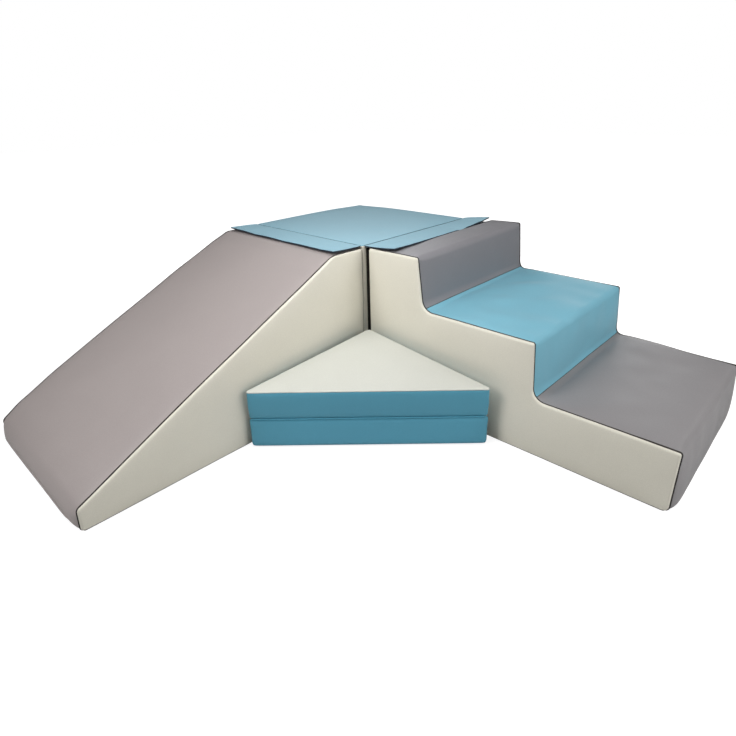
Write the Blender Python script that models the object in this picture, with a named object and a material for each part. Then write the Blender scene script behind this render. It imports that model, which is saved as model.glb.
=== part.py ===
"""Soft play corner climber: a square corner block, a ramp, three steps and a folding corner mat.

Metres, +Z up. The origin is the middle of the corner block's underside. The steps run off along +X
and the ramp along -Y, so the mat lies in the nook between them. Every module is a foam core in a
sewn cover, and each panel of a cover is a solid of its own, a seam gap away from its neighbours.
"""

import math

import bmesh
import bpy
from mathutils import Matrix, Vector

# Modules
MODULE_WIDTH = 0.550
MODULE_HEIGHT = 0.460
RAMP_LENGTH = 0.900
RAMP_PLATFORM = 0.120
TOE_HEIGHT = 0.055
TOP_TREAD = 0.200
MIDDLE_TREAD = 0.350
BOTTOM_TREAD = 0.350
RISER_LEAN = 0.010
STEP_RISE = MODULE_HEIGHT / 3
STAIRS_LENGTH = TOP_TREAD + MIDDLE_TREAD + BOTTOM_TREAD
HALF_WIDTH = MODULE_WIDTH / 2

# How the modules stand
RAMP_GAP = 0.006
STAIRS_GAP = 0.026
MAT_FROM_RAMP = 0.0375
MAT_FROM_STAIRS = 0.020
MAT_YAW = math.radians(-2.5)
MAT_OPENING = math.radians(7)

# Covers
COVER = 0.0015
SEAM_GAP = 0.0003
SKIN = COVER + SEAM_GAP
HEM_LIFT = 0.0006
CROWN = 0.003
CROWN_MARGIN = 0.020
LEAST_RADIUS = 0.001
ARC_STEPS = 4

# Rounding of the modules
BLOCK_CORNER = 0.012
BACK_EDGE = 0.006
RAMP_BEND = 0.060
TOE_TOP = 0.030
TOE_BOTTOM = 0.022
STEP_NOSE = 0.012
STEP_INSIDE = 0.022
STEP_FOOT = 0.022

# Tie flaps and their tapes
FLAP_WIDTH = 0.125
FLAP_THICKNESS = 0.0016
FLAP_NOTCH = 0.005
FLAP_CORNER = 0.004
TAPE_THICKNESS = 0.0008
TAPE_WIDTH = 0.050
TAPE_FROM_FOLD = 0.045
TAPE_END_MARGIN = 0.020
LOOP_TAPE_BASE = MODULE_HEIGHT + SEAM_GAP
HOOK_TAPE_BASE = LOOP_TAPE_BASE + TAPE_THICKNESS + SEAM_GAP
FLAP_BASE = HOOK_TAPE_BASE + TAPE_THICKNESS + SEAM_GAP
BLOCK_TOP = FLAP_BASE + FLAP_THICKNESS
FLAP_AXIS_HEIGHT = BLOCK_TOP + SEAM_GAP

# Folding mat
MAT_LEG = 0.456
MAT_THICKNESS = 0.087
MAT_TOP_CROWN = 0.003
MAT_APEX_ROUND = 0.010
MAT_TIP_ROUND = 0.005
MAT_FOOT_ROUND = 0.015
HINGE_LEAF = 0.0005
HINGE_LEAF_DEPTH = 0.020
HINGE_END_MARGIN = 0.040
MAT_HALF_FRONT = MAT_LEG / math.sqrt(2)
FOLD_AXIS_OUT = CROWN + SEAM_GAP
FOLD_AXIS_HEIGHT = MAT_THICKNESS + SEAM_GAP + HINGE_LEAF + SEAM_GAP / 2

# Zips
ZIP_WIDTH = 0.024
ZIP_TAPE = 0.0008
ZIP_TEETH_WIDTH = 0.006
ZIP_TEETH = 0.0012
SLIDER_LENGTH = 0.014
SLIDER_WIDTH = 0.009
SLIDER_NOSE_WIDTH = 0.005
SLIDER_THICKNESS = 0.0024
SLIDER_BRIDGE = 0.001
SLIDER_BRIDGE_INSET = 0.002
SLIDER_FROM_END = 0.006
ZIP_HEIGHT = 0.050
ZIP_END_MARGIN = 0.060
RAMP_ZIP_START = 0.080
RAMP_ZIP_LENGTH = 0.520
STAIRS_ZIP_LENGTH = 0.640
MAT_ZIP_FROM_TIP = 0.055
MAT_ZIP_LENGTH = 0.240

# Colours seen in the photograph, 0 to 255 on screen
CREAM = (224, 220, 205)
LIGHT_BLUE = (146, 184, 200)
STEP_BLUE = (126, 177, 196)
MAT_BLUE = (84, 142, 163)
TAUPE = (170, 162, 159)
STEP_GREY = (146, 143, 143)
FOAM_WHITE = (232, 226, 200)
BASE_GREY = (66, 68, 72)
TAPE_NAVY = (38, 48, 62)
ZIP_GREY = (176, 172, 162)
SLIDER_GREY = (120, 121, 124)


def linear(channel):
    """A screen colour's channel, 0 to 255, as linear light."""
    share = channel / 255
    return share / 12.92 if share <= 0.04045 else ((share + 0.055) / 1.055) ** 2.4


def material(name, colour, roughness, metallic=0.0):
    made = bpy.data.materials.new(name)
    made.use_nodes = True
    shader = made.node_tree.nodes["Principled BSDF"]
    shader.inputs["Base Color"].default_value = [linear(channel) for channel in colour] + [1.0]
    shader.inputs["Roughness"].default_value = roughness
    shader.inputs["Metallic"].default_value = metallic
    return made


def frame(name, location=(0, 0, 0), rotation=(0, 0, 0), parent=None):
    """An empty that carries a module, or stands on a moving piece's axis."""
    made = bpy.data.objects.new(name, None)
    bpy.context.scene.collection.objects.link(made)
    made.location = location
    made.rotation_euler = rotation
    made.parent = parent
    return made


def piece(name, body, finish, parent):
    """A named solid from a bmesh, with its material, carried by its module's frame."""
    mesh = bpy.data.meshes.new(name)
    body.to_mesh(mesh)
    body.free()
    mesh.shade_smooth()
    mesh.set_sharp_from_angle(angle=math.radians(35))
    mesh.materials.append(finish)
    made = bpy.data.objects.new(name, mesh)
    bpy.context.scene.collection.objects.link(made)
    made.parent = parent
    return made


def rounded(corners):
    """A closed outline from anticlockwise corners (x, y, radius), rounded by arcs that fit their edges."""
    outline = []
    for number, (x, y, radius) in enumerate(corners):
        here = Vector((x, y))
        arriving = here - Vector(corners[number - 1][:2])
        leaving = Vector(corners[(number + 1) % len(corners)][:2]) - here
        if radius == 0:
            outline.append(here)
            continue
        turn = math.atan2(arriving.cross(leaving), arriving.dot(leaving))
        spread = math.tan(abs(turn) / 2)
        reach = min(radius * spread, arriving.length / 2, leaving.length / 2)
        start = here - arriving.normalized() * reach
        inward = Vector((-arriving.y, arriving.x)).normalized() * math.copysign(reach / spread, turn)
        centre = start + inward
        for step in range(ARC_STEPS + 1):
            outline.append(centre + Matrix.Rotation(turn * step / ARC_STEPS, 2) @ (start - centre))
    return outline


def inset(corners, distance):
    """The same corners moved in from every edge: outer ones lose radius, inner ones gain it."""
    moved = []
    for number, (x, y, radius) in enumerate(corners):
        here = Vector((x, y))
        arriving = (here - Vector(corners[number - 1][:2])).normalized()
        leaving = (Vector(corners[(number + 1) % len(corners)][:2]) - here).normalized()
        inward = Vector((-arriving.y - leaving.y, arriving.x + leaving.x))
        corner = here + inward * distance / (1 + arriving.dot(leaving))
        outer = arriving.cross(leaving) > 0
        moved_radius = max(radius - distance, LEAST_RADIUS) if outer else radius + distance
        moved.append((corner.x, corner.y, moved_radius if radius else 0))
    return moved


def level(outline, height):
    """A plan outline laid at a height."""
    return [Vector((point.x, point.y, height)) for point in outline]


def upright(outline, across):
    """A side profile stood up, its first measure along the module and its second up."""
    return [Vector((point.x, across, point.y)) for point in outline]


def sweep(sections, ring=False):
    """A closed body through sections with as many points each: capped at its ends, or joined into a ring."""
    body = bmesh.new()
    rows = [[body.verts.new(point) for point in section] for section in sections]
    pairs = list(zip(rows, rows[1:]))
    if ring:
        pairs.append((rows[-1], rows[0]))
    else:
        body.faces.new(rows[0])
        body.faces.new(rows[-1])
    for row, following in pairs:
        for number in range(len(row)):
            body.faces.new((row[number], row[number - 1], following[number - 1], following[number]))
    bmesh.ops.recalc_face_normals(body, faces=body.faces)
    return body


def stack(corners, profile):
    """A body on a plan outline, which is moved in and set at a height by each (inset, height) of a profile."""
    return sweep([level(rounded(inset(corners, distance)), height) for distance, height in profile])


def plate(corners, low, high):
    """A flat plate with a plan outline."""
    return stack(corners, [(0, low), (0, high)])


def crowned_plate(corners, low, high, crown):
    """A plate whose upper face swells up from its edges."""
    return stack(corners, [(0, low), (0, high), (CROWN_MARGIN, high + crown)])


def foot_curve(radius, low, depth):
    """The (inset, height) pairs up a rounded foot, for a surface at a depth inside the cover's own."""
    if radius == 0:
        return [(depth, low)]
    curve = []
    for step in range(ARC_STEPS + 1):
        turn = math.radians(90) * step / ARC_STEPS
        distance = radius - (radius - depth) * math.sin(turn)
        curve.append((distance, low + radius - (radius - depth) * math.cos(turn)))
    return curve


def side_band(corners, low, high, foot=0.0):
    """A band of cover round a plan outline, on a rounded foot. Each flat side swells out from its edges."""
    outside = foot_curve(foot, low, 0) + [(0, high)]
    inside = foot_curve(foot, low, COVER) + [(COVER, high)]
    loop = outside + inside[::-1]
    rings = [level(rounded(inset(corners, distance)), height) for distance, height in loop]
    body = sweep(list(zip(*rings)), ring=True)
    middle = sum(rings[0], Vector((0, 0, 0))) / len(rings[0])
    wide = []
    for face in body.faces:
        outward = (face.calc_center_median() - middle).xy.dot(face.normal.xy) > 0
        if outward and min(edge.calc_length() for edge in face.edges) > 2 * CROWN_MARGIN:
            wide.append(face)
    bmesh.ops.inset_individual(body, faces=wide, thickness=CROWN_MARGIN, depth=CROWN)
    return body


def side_panel(corners, side):
    """An upright end panel with a module's side profile, swelling outward; side is +1 or -1."""
    lifted = [(x, max(height, HEM_LIFT), radius) for x, height, radius in corners]
    outline = rounded(lifted)
    swell = rounded(inset(lifted, CROWN_MARGIN))
    inside = upright(outline, side * (HALF_WIDTH - COVER))
    outside = upright(outline, side * HALF_WIDTH)
    swollen = upright(swell, side * (HALF_WIDTH + CROWN))
    return sweep([inside, outside, swollen])


def trimmed(path):
    """An open path with half a seam gap cut from each end."""
    cut = [point.copy() for point in path]
    cut[0] += (path[1] - path[0]).normalized() * SEAM_GAP / 2
    cut[-1] += (path[-2] - path[-1]).normalized() * SEAM_GAP / 2
    return cut


def arc_point(corner, share):
    """The number of the outline point that lies at a share of a corner's arc."""
    return corner * (ARC_STEPS + 1) + round(ARC_STEPS * share)


def wrap_panel(corners, first, last, swelling_after=()):
    """A panel that follows a side profile from one outline point to another, between the side panels.

    It swells up from its edges on the straight stretches that leave the corners listed.
    """
    outer = rounded(corners)
    inner = rounded(inset(corners, COVER))
    picked = [number % len(outer) for number in range(first, last + 1)]
    path = list(zip(trimmed([outer[n] for n in picked]), trimmed([inner[n] for n in picked])))
    swelling_from = [arc_point(corner, 1) for corner in swelling_after]
    rows = []
    for number, here, following in zip(picked, path, path[1:]):
        rows.append((*here, Vector((0, 0))))
        if number in swelling_from:
            along = following[0] - here[0]
            rise = Vector((along.y, -along.x)).normalized() * CROWN
            margin_share = CROWN_MARGIN / along.length
            for share in (margin_share, 1 - margin_share):
                rows.append((*(a.lerp(b, share) for a, b in zip(here, following)), rise))
    rows.append((*path[-1], Vector((0, 0))))

    half = HALF_WIDTH - SKIN
    swollen_half = half - CROWN_MARGIN
    sections = []
    for out, back, rise in rows:
        swollen = out + rise
        across = [(-half, out), (-swollen_half, swollen), (swollen_half, swollen), (half, out)]
        across += [(half, back), (-half, back)]
        sections.append([Vector((point.x, y, point.y)) for y, point in across])
    return sweep(sections)


def core(corners):
    """A foam body with a side profile, between the side panels."""
    outline = rounded(corners)
    half = HALF_WIDTH - SKIN
    return sweep([upright(outline, -half), upright(outline, half)])


def rectangle(low_x, low_y, high_x, high_y, radius=0.0):
    return [
        (low_x, low_y, radius),
        (high_x, low_y, radius),
        (high_x, high_y, radius),
        (low_x, high_y, radius),
    ]


def zip_fastener(owner, length, parent, location, heading):
    """A zip on an upright face: tape with teeth, and the slider at its closed end. Its own y points outward."""
    on_face = frame(owner + "_zip", location, (0, 0, heading), parent)
    tape_top = SEAM_GAP + ZIP_TAPE
    teeth_top = tape_top + ZIP_TEETH
    half, half_teeth = ZIP_WIDTH / 2, ZIP_TEETH_WIDTH / 2
    profile = [
        (SEAM_GAP, -half),
        (tape_top, -half),
        (tape_top, -half_teeth),
        (teeth_top, -half_teeth),
        (teeth_top, half_teeth),
        (tape_top, half_teeth),
        (tape_top, half),
        (SEAM_GAP, half),
    ]
    ends = [[Vector((along, out, up)) for out, up in profile] for along in (0, length)]
    piece(owner + "_zip_tape", sweep(ends), zip_cloth, on_face)

    start = frame(owner + "_zip_start", (SLIDER_FROM_END, teeth_top + SEAM_GAP, 0), parent=on_face)
    plan = [
        (0, -SLIDER_NOSE_WIDTH / 2, 0),
        (SLIDER_LENGTH, -SLIDER_WIDTH / 2, 0),
        (SLIDER_LENGTH, SLIDER_WIDTH / 2, 0),
        (0, SLIDER_NOSE_WIDTH / 2, 0),
    ]
    body = rounded(plan)
    bridge = rounded(inset(plan, SLIDER_BRIDGE_INSET))
    heights = (0, SLIDER_THICKNESS, SLIDER_THICKNESS, SLIDER_THICKNESS + SLIDER_BRIDGE)
    sections = [upright(shape, height) for shape, height in zip((body, body, bridge, bridge), heights)]
    piece(owner + "_zip_slider", sweep(sections), slider_metal, start)


def corner_block():
    """The square block at the back: one band round four sides, top and base panels, a foam core."""
    block = frame("corner_block")
    plan = rectangle(-HALF_WIDTH, -HALF_WIDTH, HALF_WIDTH, HALF_WIDTH, BLOCK_CORNER)
    piece("block_base_panel", plate(plan, 0, COVER), base_cloth, block)
    band_top = BLOCK_TOP - SKIN
    piece("block_side_band", side_band(plan, SKIN, band_top), cream_vinyl, block)
    top = crowned_plate(plan, BLOCK_TOP - COVER, BLOCK_TOP, CROWN)
    piece("block_top_panel", top, light_blue_vinyl, block)
    piece("block_foam_core", plate(inset(plan, SKIN), SKIN, band_top), foam, block)
    zip_length = MODULE_WIDTH - 2 * ZIP_END_MARGIN
    on_back = (-zip_length / 2, HALF_WIDTH + CROWN, ZIP_HEIGHT)
    zip_fastener("block", zip_length, block, on_back, 0)
    return block


def tie_flap(owner, block, location, heading):
    """A thin flap sewn to the block's top edge, with its hook tape. Its own x points away from the block."""
    fold = frame(owner + "_flap_fold", location, (0, 0, heading), block)
    half = HALF_WIDTH - FLAP_NOTCH
    plan = rectangle(SEAM_GAP, -half, FLAP_WIDTH, half, FLAP_CORNER)
    flap = plate(plan, FLAP_BASE - FLAP_AXIS_HEIGHT, BLOCK_TOP - FLAP_AXIS_HEIGHT)
    piece(owner + "_flap", flap, light_blue_vinyl, fold)
    half -= TAPE_END_MARGIN
    plan = rectangle(TAPE_FROM_FOLD, -half, TAPE_FROM_FOLD + TAPE_WIDTH, half)
    low = HOOK_TAPE_BASE - FLAP_AXIS_HEIGHT
    piece(owner + "_flap_hook_tape", plate(plan, low, low + TAPE_THICKNESS), tape_cloth, fold)


def loop_tape(owner, module, gap):
    """The loop tape on a module's top, under the block's flap."""
    half = HALF_WIDTH - FLAP_NOTCH - TAPE_END_MARGIN
    start = TAPE_FROM_FOLD - gap
    plan = rectangle(start, -half, start + TAPE_WIDTH, half)
    tape = plate(plan, LOOP_TAPE_BASE, LOOP_TAPE_BASE + TAPE_THICKNESS)
    piece(owner + "_loop_tape", tape, tape_cloth, module)


def ramp():
    """The slide: its own x runs down the slope and its own y across, towards the nook."""
    module = frame("ramp_module", (0, -HALF_WIDTH - RAMP_GAP, 0), (0, 0, math.radians(-90)))
    profile = [
        (0, 0, BACK_EDGE),
        (RAMP_LENGTH, 0, TOE_BOTTOM),
        (RAMP_LENGTH, TOE_HEIGHT, TOE_TOP),
        (RAMP_PLATFORM, MODULE_HEIGHT, RAMP_BEND),
        (0, MODULE_HEIGHT, BACK_EDGE),
    ]
    back_foot = arc_point(0, 1 / 2)
    toe_foot = arc_point(1, 1 / 4)
    back_top = arc_point(4, 1 / 2)
    around = len(rounded(profile))
    piece("ramp_base_panel", wrap_panel(profile, back_foot, toe_foot), base_cloth, module)
    slope = wrap_panel(profile, toe_foot, back_top, swelling_after=[2])
    piece("ramp_slope_panel", slope, taupe_vinyl, module)
    piece("ramp_back_panel", wrap_panel(profile, back_top, back_foot + around), cream_vinyl, module)
    piece("ramp_inner_side_panel", side_panel(profile, 1), cream_vinyl, module)
    piece("ramp_outer_side_panel", side_panel(profile, -1), cream_vinyl, module)
    piece("ramp_foam_core", core(inset(profile, SKIN)), foam, module)
    loop_tape("ramp", module, RAMP_GAP)
    on_side = (RAMP_ZIP_START + RAMP_ZIP_LENGTH, -HALF_WIDTH - CROWN, ZIP_HEIGHT)
    zip_fastener("ramp", RAMP_ZIP_LENGTH, module, on_side, math.pi)


def stairs():
    """Three steps: their own x runs down the steps and their own y across, away from the nook."""
    module = frame("stairs_module", (HALF_WIDTH + STAIRS_GAP, 0, 0))
    second_edge = TOP_TREAD + MIDDLE_TREAD
    profile = [
        (0, 0, BACK_EDGE),
        (STAIRS_LENGTH, 0, STEP_FOOT),
        (STAIRS_LENGTH, STEP_RISE, STEP_NOSE),
        (second_edge + RISER_LEAN, STEP_RISE, STEP_INSIDE),
        (second_edge, 2 * STEP_RISE, STEP_NOSE),
        (TOP_TREAD + RISER_LEAN, 2 * STEP_RISE, STEP_INSIDE),
        (TOP_TREAD, MODULE_HEIGHT, STEP_NOSE),
        (0, MODULE_HEIGHT, BACK_EDGE),
    ]
    back_foot = arc_point(0, 1 / 2)
    front_foot = arc_point(1, 1 / 4)
    lower_seam = arc_point(3, 1 / 2)
    upper_seam = arc_point(5, 1 / 2)
    back_top = arc_point(7, 1 / 2)
    around = len(rounded(profile))
    piece("stairs_base_panel", wrap_panel(profile, back_foot, front_foot), base_cloth, module)
    bottom_step = wrap_panel(profile, front_foot, lower_seam, swelling_after=[1, 2])
    piece("stairs_bottom_step_panel", bottom_step, grey_vinyl, module)
    middle_step = wrap_panel(profile, lower_seam, upper_seam, swelling_after=[3, 4])
    piece("stairs_middle_step_panel", middle_step, step_blue_vinyl, module)
    top_step = wrap_panel(profile, upper_seam, back_top, swelling_after=[5])
    piece("stairs_top_step_panel", top_step, grey_vinyl, module)
    piece("stairs_back_panel", wrap_panel(profile, back_top, back_foot + around), cream_vinyl, module)
    piece("stairs_inner_side_panel", side_panel(profile, -1), cream_vinyl, module)
    piece("stairs_outer_side_panel", side_panel(profile, 1), cream_vinyl, module)

    within = inset(profile, SKIN)
    back = within[0][0]
    bottom_slab = [within[0], within[1], within[2], (back, within[2][1], 0)]
    middle_floor = within[2][1] + SEAM_GAP
    middle_slab = [
        (back, middle_floor, 0),
        (within[3][0], middle_floor, 0),
        within[4],
        (back, within[4][1], 0),
    ]
    top_floor = within[4][1] + SEAM_GAP
    top_slab = [(back, top_floor, 0), (within[5][0], top_floor, 0), within[6], within[7]]
    piece("stairs_bottom_foam", core(bottom_slab), foam, module)
    piece("stairs_middle_foam", core(middle_slab), foam, module)
    piece("stairs_top_foam", core(top_slab), foam, module)

    loop_tape("stairs", module, STAIRS_GAP)
    zip_start = (STAIRS_LENGTH - STAIRS_ZIP_LENGTH) / 2
    on_side = (zip_start, HALF_WIDTH + CROWN, ZIP_HEIGHT)
    zip_fastener("stairs", STAIRS_ZIP_LENGTH, module, on_side, 0)


def hinge_leaf(low, high):
    """A cloth leaf of the mat's hinge, from inside the crease out to the fold line."""
    half = MAT_HALF_FRONT - HINGE_END_MARGIN
    plan = rectangle(-half, SEAM_GAP / 2 - FOLD_AXIS_OUT, half, HINGE_LEAF_DEPTH)
    return plate(plan, low, high)


def mat_zip(owner, height, parent):
    """The zip on a layer's side towards the steps, starting near the front tip."""
    along = Vector((-1, 1)).normalized()
    outward = Vector((1, 1)).normalized()
    start = Vector((MAT_HALF_FRONT, 0)) + along * MAT_ZIP_FROM_TIP + outward * CROWN
    far = start + along * MAT_ZIP_LENGTH
    zip_fastener(owner, MAT_ZIP_LENGTH, parent, (far.x, far.y, height), math.radians(-45))


def mat():
    """The mat: its own x runs along the front crease and its own y back to the corner."""
    heading = math.radians(45) + MAT_YAW
    apex = Vector((HALF_WIDTH + MAT_FROM_RAMP, -HALF_WIDTH - MAT_FROM_STAIRS))
    front = apex - Matrix.Rotation(heading, 2) @ Vector((0, MAT_HALF_FRONT))
    module = frame("mat_module", (front.x, front.y, 0), (0, 0, heading))
    plan = [
        (-MAT_HALF_FRONT, 0, MAT_TIP_ROUND),
        (MAT_HALF_FRONT, 0, MAT_TIP_ROUND),
        (0, MAT_HALF_FRONT, MAT_APEX_ROUND),
    ]

    base_plan = inset(plan, MAT_FOOT_ROUND + SEAM_GAP)
    piece("mat_lower_base_panel", plate(base_plan, 0, COVER), base_cloth, module)
    lower_top = MAT_THICKNESS - SKIN
    lower_band = side_band(plan, HEM_LIFT, lower_top, MAT_FOOT_ROUND)
    piece("mat_lower_side_band", lower_band, mat_blue_vinyl, module)
    lower_foam = stack(plan, foot_curve(MAT_FOOT_ROUND, HEM_LIFT, SKIN) + [(SKIN, lower_top)])
    piece("mat_lower_foam", lower_foam, foam, module)
    fold_panel = plate(plan, MAT_THICKNESS - COVER, MAT_THICKNESS)
    piece("mat_lower_fold_panel", fold_panel, cream_vinyl, module)
    leaf_low = MAT_THICKNESS + SEAM_GAP
    piece("mat_lower_hinge_leaf", hinge_leaf(leaf_low, leaf_low + HINGE_LEAF), mat_blue_vinyl, module)
    mat_zip("mat_lower", MAT_THICKNESS / 2, module)

    axis_at = (0, -FOLD_AXIS_OUT, FOLD_AXIS_HEIGHT)
    fold = frame("mat_fold", axis_at, (MAT_OPENING, 0, 0), module)
    upper = frame("mat_upper_module", (0, FOLD_AXIS_OUT, 0), parent=fold)
    leaf_low = SEAM_GAP / 2
    piece("mat_upper_hinge_leaf", hinge_leaf(leaf_low, leaf_low + HINGE_LEAF), mat_blue_vinyl, upper)
    fold_face = leaf_low + HINGE_LEAF + SEAM_GAP
    piece("mat_upper_fold_panel", plate(plan, fold_face, fold_face + COVER), cream_vinyl, upper)
    top_edge = fold_face + MAT_THICKNESS - MAT_TOP_CROWN
    band_low, band_top = fold_face + SKIN, top_edge - SKIN
    piece("mat_upper_side_band", side_band(plan, band_low, band_top), mat_blue_vinyl, upper)
    piece("mat_upper_foam", plate(inset(plan, SKIN), band_low, band_top), foam, upper)
    top = crowned_plate(plan, top_edge - COVER, top_edge, MAT_TOP_CROWN)
    piece("mat_upper_top_panel", top, cream_vinyl, upper)
    mat_zip("mat_upper", fold_face + MAT_THICKNESS / 2, upper)


for old in list(bpy.data.objects):
    bpy.data.objects.remove(old)

cream_vinyl = material("cream_vinyl", CREAM, 0.48)
light_blue_vinyl = material("light_blue_vinyl", LIGHT_BLUE, 0.48)
step_blue_vinyl = material("step_blue_vinyl", STEP_BLUE, 0.48)
mat_blue_vinyl = material("mat_blue_vinyl", MAT_BLUE, 0.48)
taupe_vinyl = material("taupe_vinyl", TAUPE, 0.50)
grey_vinyl = material("grey_vinyl", STEP_GREY, 0.50)
foam = material("foam", FOAM_WHITE, 0.95)
base_cloth = material("base_cloth", BASE_GREY, 0.85)
tape_cloth = material("tape_cloth", TAPE_NAVY, 0.90)
zip_cloth = material("zip_cloth", ZIP_GREY, 0.80)
slider_metal = material("slider_metal", SLIDER_GREY, 0.35, metallic=0.9)

block = corner_block()
tie_flap("ramp", block, (0, -HALF_WIDTH, FLAP_AXIS_HEIGHT), math.radians(-90))
tie_flap("stairs", block, (HALF_WIDTH, 0, FLAP_AXIS_HEIGHT), 0)
ramp()
stairs()
mat()
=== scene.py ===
"""The looks of the soft play corner climber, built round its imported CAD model.

Metres, +Z up, in the CAD's frame: the corner block stands on the origin, the steps run along +X
and the ramp along -Y. The sections follow the making: the foam, the covers of the block, ramp,
steps and mat, the flaps, the zips, and last the studio with its camera and lamps.
"""

import math

import bmesh
import bpy
import numpy as np
from mathutils import Matrix, Vector, noise
from mathutils.geometry import delaunay_2d_cdt


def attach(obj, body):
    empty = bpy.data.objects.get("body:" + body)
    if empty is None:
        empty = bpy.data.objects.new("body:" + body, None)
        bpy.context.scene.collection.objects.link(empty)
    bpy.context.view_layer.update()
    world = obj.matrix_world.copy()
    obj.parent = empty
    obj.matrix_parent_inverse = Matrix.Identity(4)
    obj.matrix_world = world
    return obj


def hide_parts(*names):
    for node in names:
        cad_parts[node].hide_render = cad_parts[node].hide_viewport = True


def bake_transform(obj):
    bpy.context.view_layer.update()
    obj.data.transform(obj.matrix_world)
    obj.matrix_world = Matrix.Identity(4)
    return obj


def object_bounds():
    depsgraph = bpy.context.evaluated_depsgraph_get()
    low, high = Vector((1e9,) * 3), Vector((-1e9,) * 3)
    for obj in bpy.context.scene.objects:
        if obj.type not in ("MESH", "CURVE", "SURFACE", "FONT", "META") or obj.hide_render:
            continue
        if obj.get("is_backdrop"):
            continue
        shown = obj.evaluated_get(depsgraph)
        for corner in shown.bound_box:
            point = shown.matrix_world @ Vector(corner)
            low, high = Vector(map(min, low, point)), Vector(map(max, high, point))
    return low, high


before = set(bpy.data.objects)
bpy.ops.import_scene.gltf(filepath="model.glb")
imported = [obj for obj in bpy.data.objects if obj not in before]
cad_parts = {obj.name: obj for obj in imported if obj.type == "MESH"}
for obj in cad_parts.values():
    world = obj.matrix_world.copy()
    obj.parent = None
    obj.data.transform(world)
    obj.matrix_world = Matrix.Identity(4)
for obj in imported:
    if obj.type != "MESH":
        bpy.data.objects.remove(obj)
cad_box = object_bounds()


# Foam cores: upholstery foam cut with a hot wire, one core to a module and three glued slabs to the
# steps. The covers are sewn a little tight, so they press the edges of the foam round.

FOAM_PRESSED_IN = 0.0040
FOAM_CELL = 0.014


class Wire:
    """A shader socket. Sums on wires and numbers add Math nodes; node() adds any other node."""

    def __init__(self, tree, socket=None):
        self.tree = tree
        self.socket = socket

    def node(self, kind, settings=None, sockets=None, output=None):
        """Adds a node: its settings are set first, then its sockets take values or wires."""
        made = self.tree.nodes.new("ShaderNode" + kind)
        for name, value in (settings or {}).items():
            setattr(made, name, value)
        self.plug(made, sockets or {})
        outputs = [socket for socket in made.outputs if socket.enabled]
        chosen = outputs[0] if output is None else next(s for s in outputs if s.name == output)
        return Wire(self.tree, chosen)

    def plug(self, made, sockets):
        """Sets a node's sockets, by name or number, to values or wires."""
        enabled = [socket for socket in made.inputs if socket.enabled]
        for key, value in sockets.items():
            if isinstance(key, int):
                socket = made.inputs[key]
            else:
                socket = next(s for s in enabled if s.name == key)
            if isinstance(value, Wire):
                self.tree.links.new(value.socket, socket)
            else:
                socket.default_value = value

    def math(self, operation, other):
        return self.node("Math", {"operation": operation}, {0: self, 1: other})

    def __add__(self, other):
        return self.math("ADD", other)

    def __mul__(self, other):
        return self.math("MULTIPLY", other)

    def blend(self, low, high):
        """A colour between two others, by this wire from 0 to 1."""
        return self.node("Mix", {"data_type": "RGBA"}, {"Factor": self, "A": low, "B": high})

    def spread(self, scale, detail=2.0, roughness=0.5):
        """Smooth noise from 0 to 1 over this place, with scale in patches to the metre."""
        sockets = {"Vector": self, "Scale": scale, "Detail": detail, "Roughness": roughness}
        return self.node("TexNoise", None, sockets, "Fac")

    def ramp(self, low, high):
        """This wire stretched so that low becomes 0 and high becomes 1, and clamped."""
        return self.node("MapRange", {"clamp": True}, {"Value": self, "From Min": low, "From Max": high})


def linear(colour):
    """A screen colour, 0 to 255, as linear light with alpha."""
    shares = [channel / 255 for channel in colour]
    light = [s / 12.92 if s <= 0.04045 else ((s + 0.055) / 1.055) ** 2.4 for s in shares]
    return (*light, 1.0)


def shade(colour, level):
    """A linear colour made lighter or darker."""
    return (*(min(channel * level, 1.0) for channel in colour[:3]), 1.0)


def new_finish(name):
    """A new material, a wire that carries its place in the piece's own frame, and its shader."""
    made = bpy.data.materials.new(name)
    made.use_nodes = True
    place = Wire(made.node_tree).node("TexCoord", output="Object")
    return made, place, made.node_tree.nodes["Principled BSDF"]


def bumped(place, height, strength, distance):
    """A normal with fine relief from a height of 0 to 1."""
    return place.node("Bump", None, {"Strength": strength, "Distance": distance, "Height": height})


def foam_finish():
    """Open-cell foam: matt, yellowed in patches, pitted all over, with painted shade darkening each pit.
    """
    made, place, shader = new_finish("foam")
    cells = place.node("TexVoronoi", None, {"Vector": place, "Scale": 700.0}, "Distance")
    yellowed = place.spread(5.0).blend(linear((236, 231, 208)), linear((226, 215, 180)))
    pit_shaded = cells.ramp(0.0, 0.5).blend(linear((180, 170, 140)), yellowed)
    shader.inputs["Roughness"].default_value = 0.95
    place.plug(shader, {"Base Color": pit_shaded, "Normal": bumped(place, cells, 0.6, 0.0006)})
    return made


def shown(name, data):
    """An object in the scene from a mesh, a lamp or a camera."""
    made = bpy.data.objects.new(name, data)
    bpy.context.scene.collection.objects.link(made)
    return made


def new_piece(name, points, faces, *finishes):
    """A smooth mesh in the scene."""
    mesh = bpy.data.meshes.new(name)
    mesh.from_pydata([tuple(point) for point in points], [], faces)
    mesh.shade_smooth()
    for finish in finishes:
        mesh.materials.append(finish)
    return shown(name, mesh)


def thicken(piece, thickness, offset=-1.0):
    """Closes an open surface to the thickness of its cloth, which lies below it at offset -1."""
    shell = piece.modifiers.new("cloth", "SOLIDIFY")
    shell.thickness, shell.offset = thickness, offset
    return shell


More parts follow.
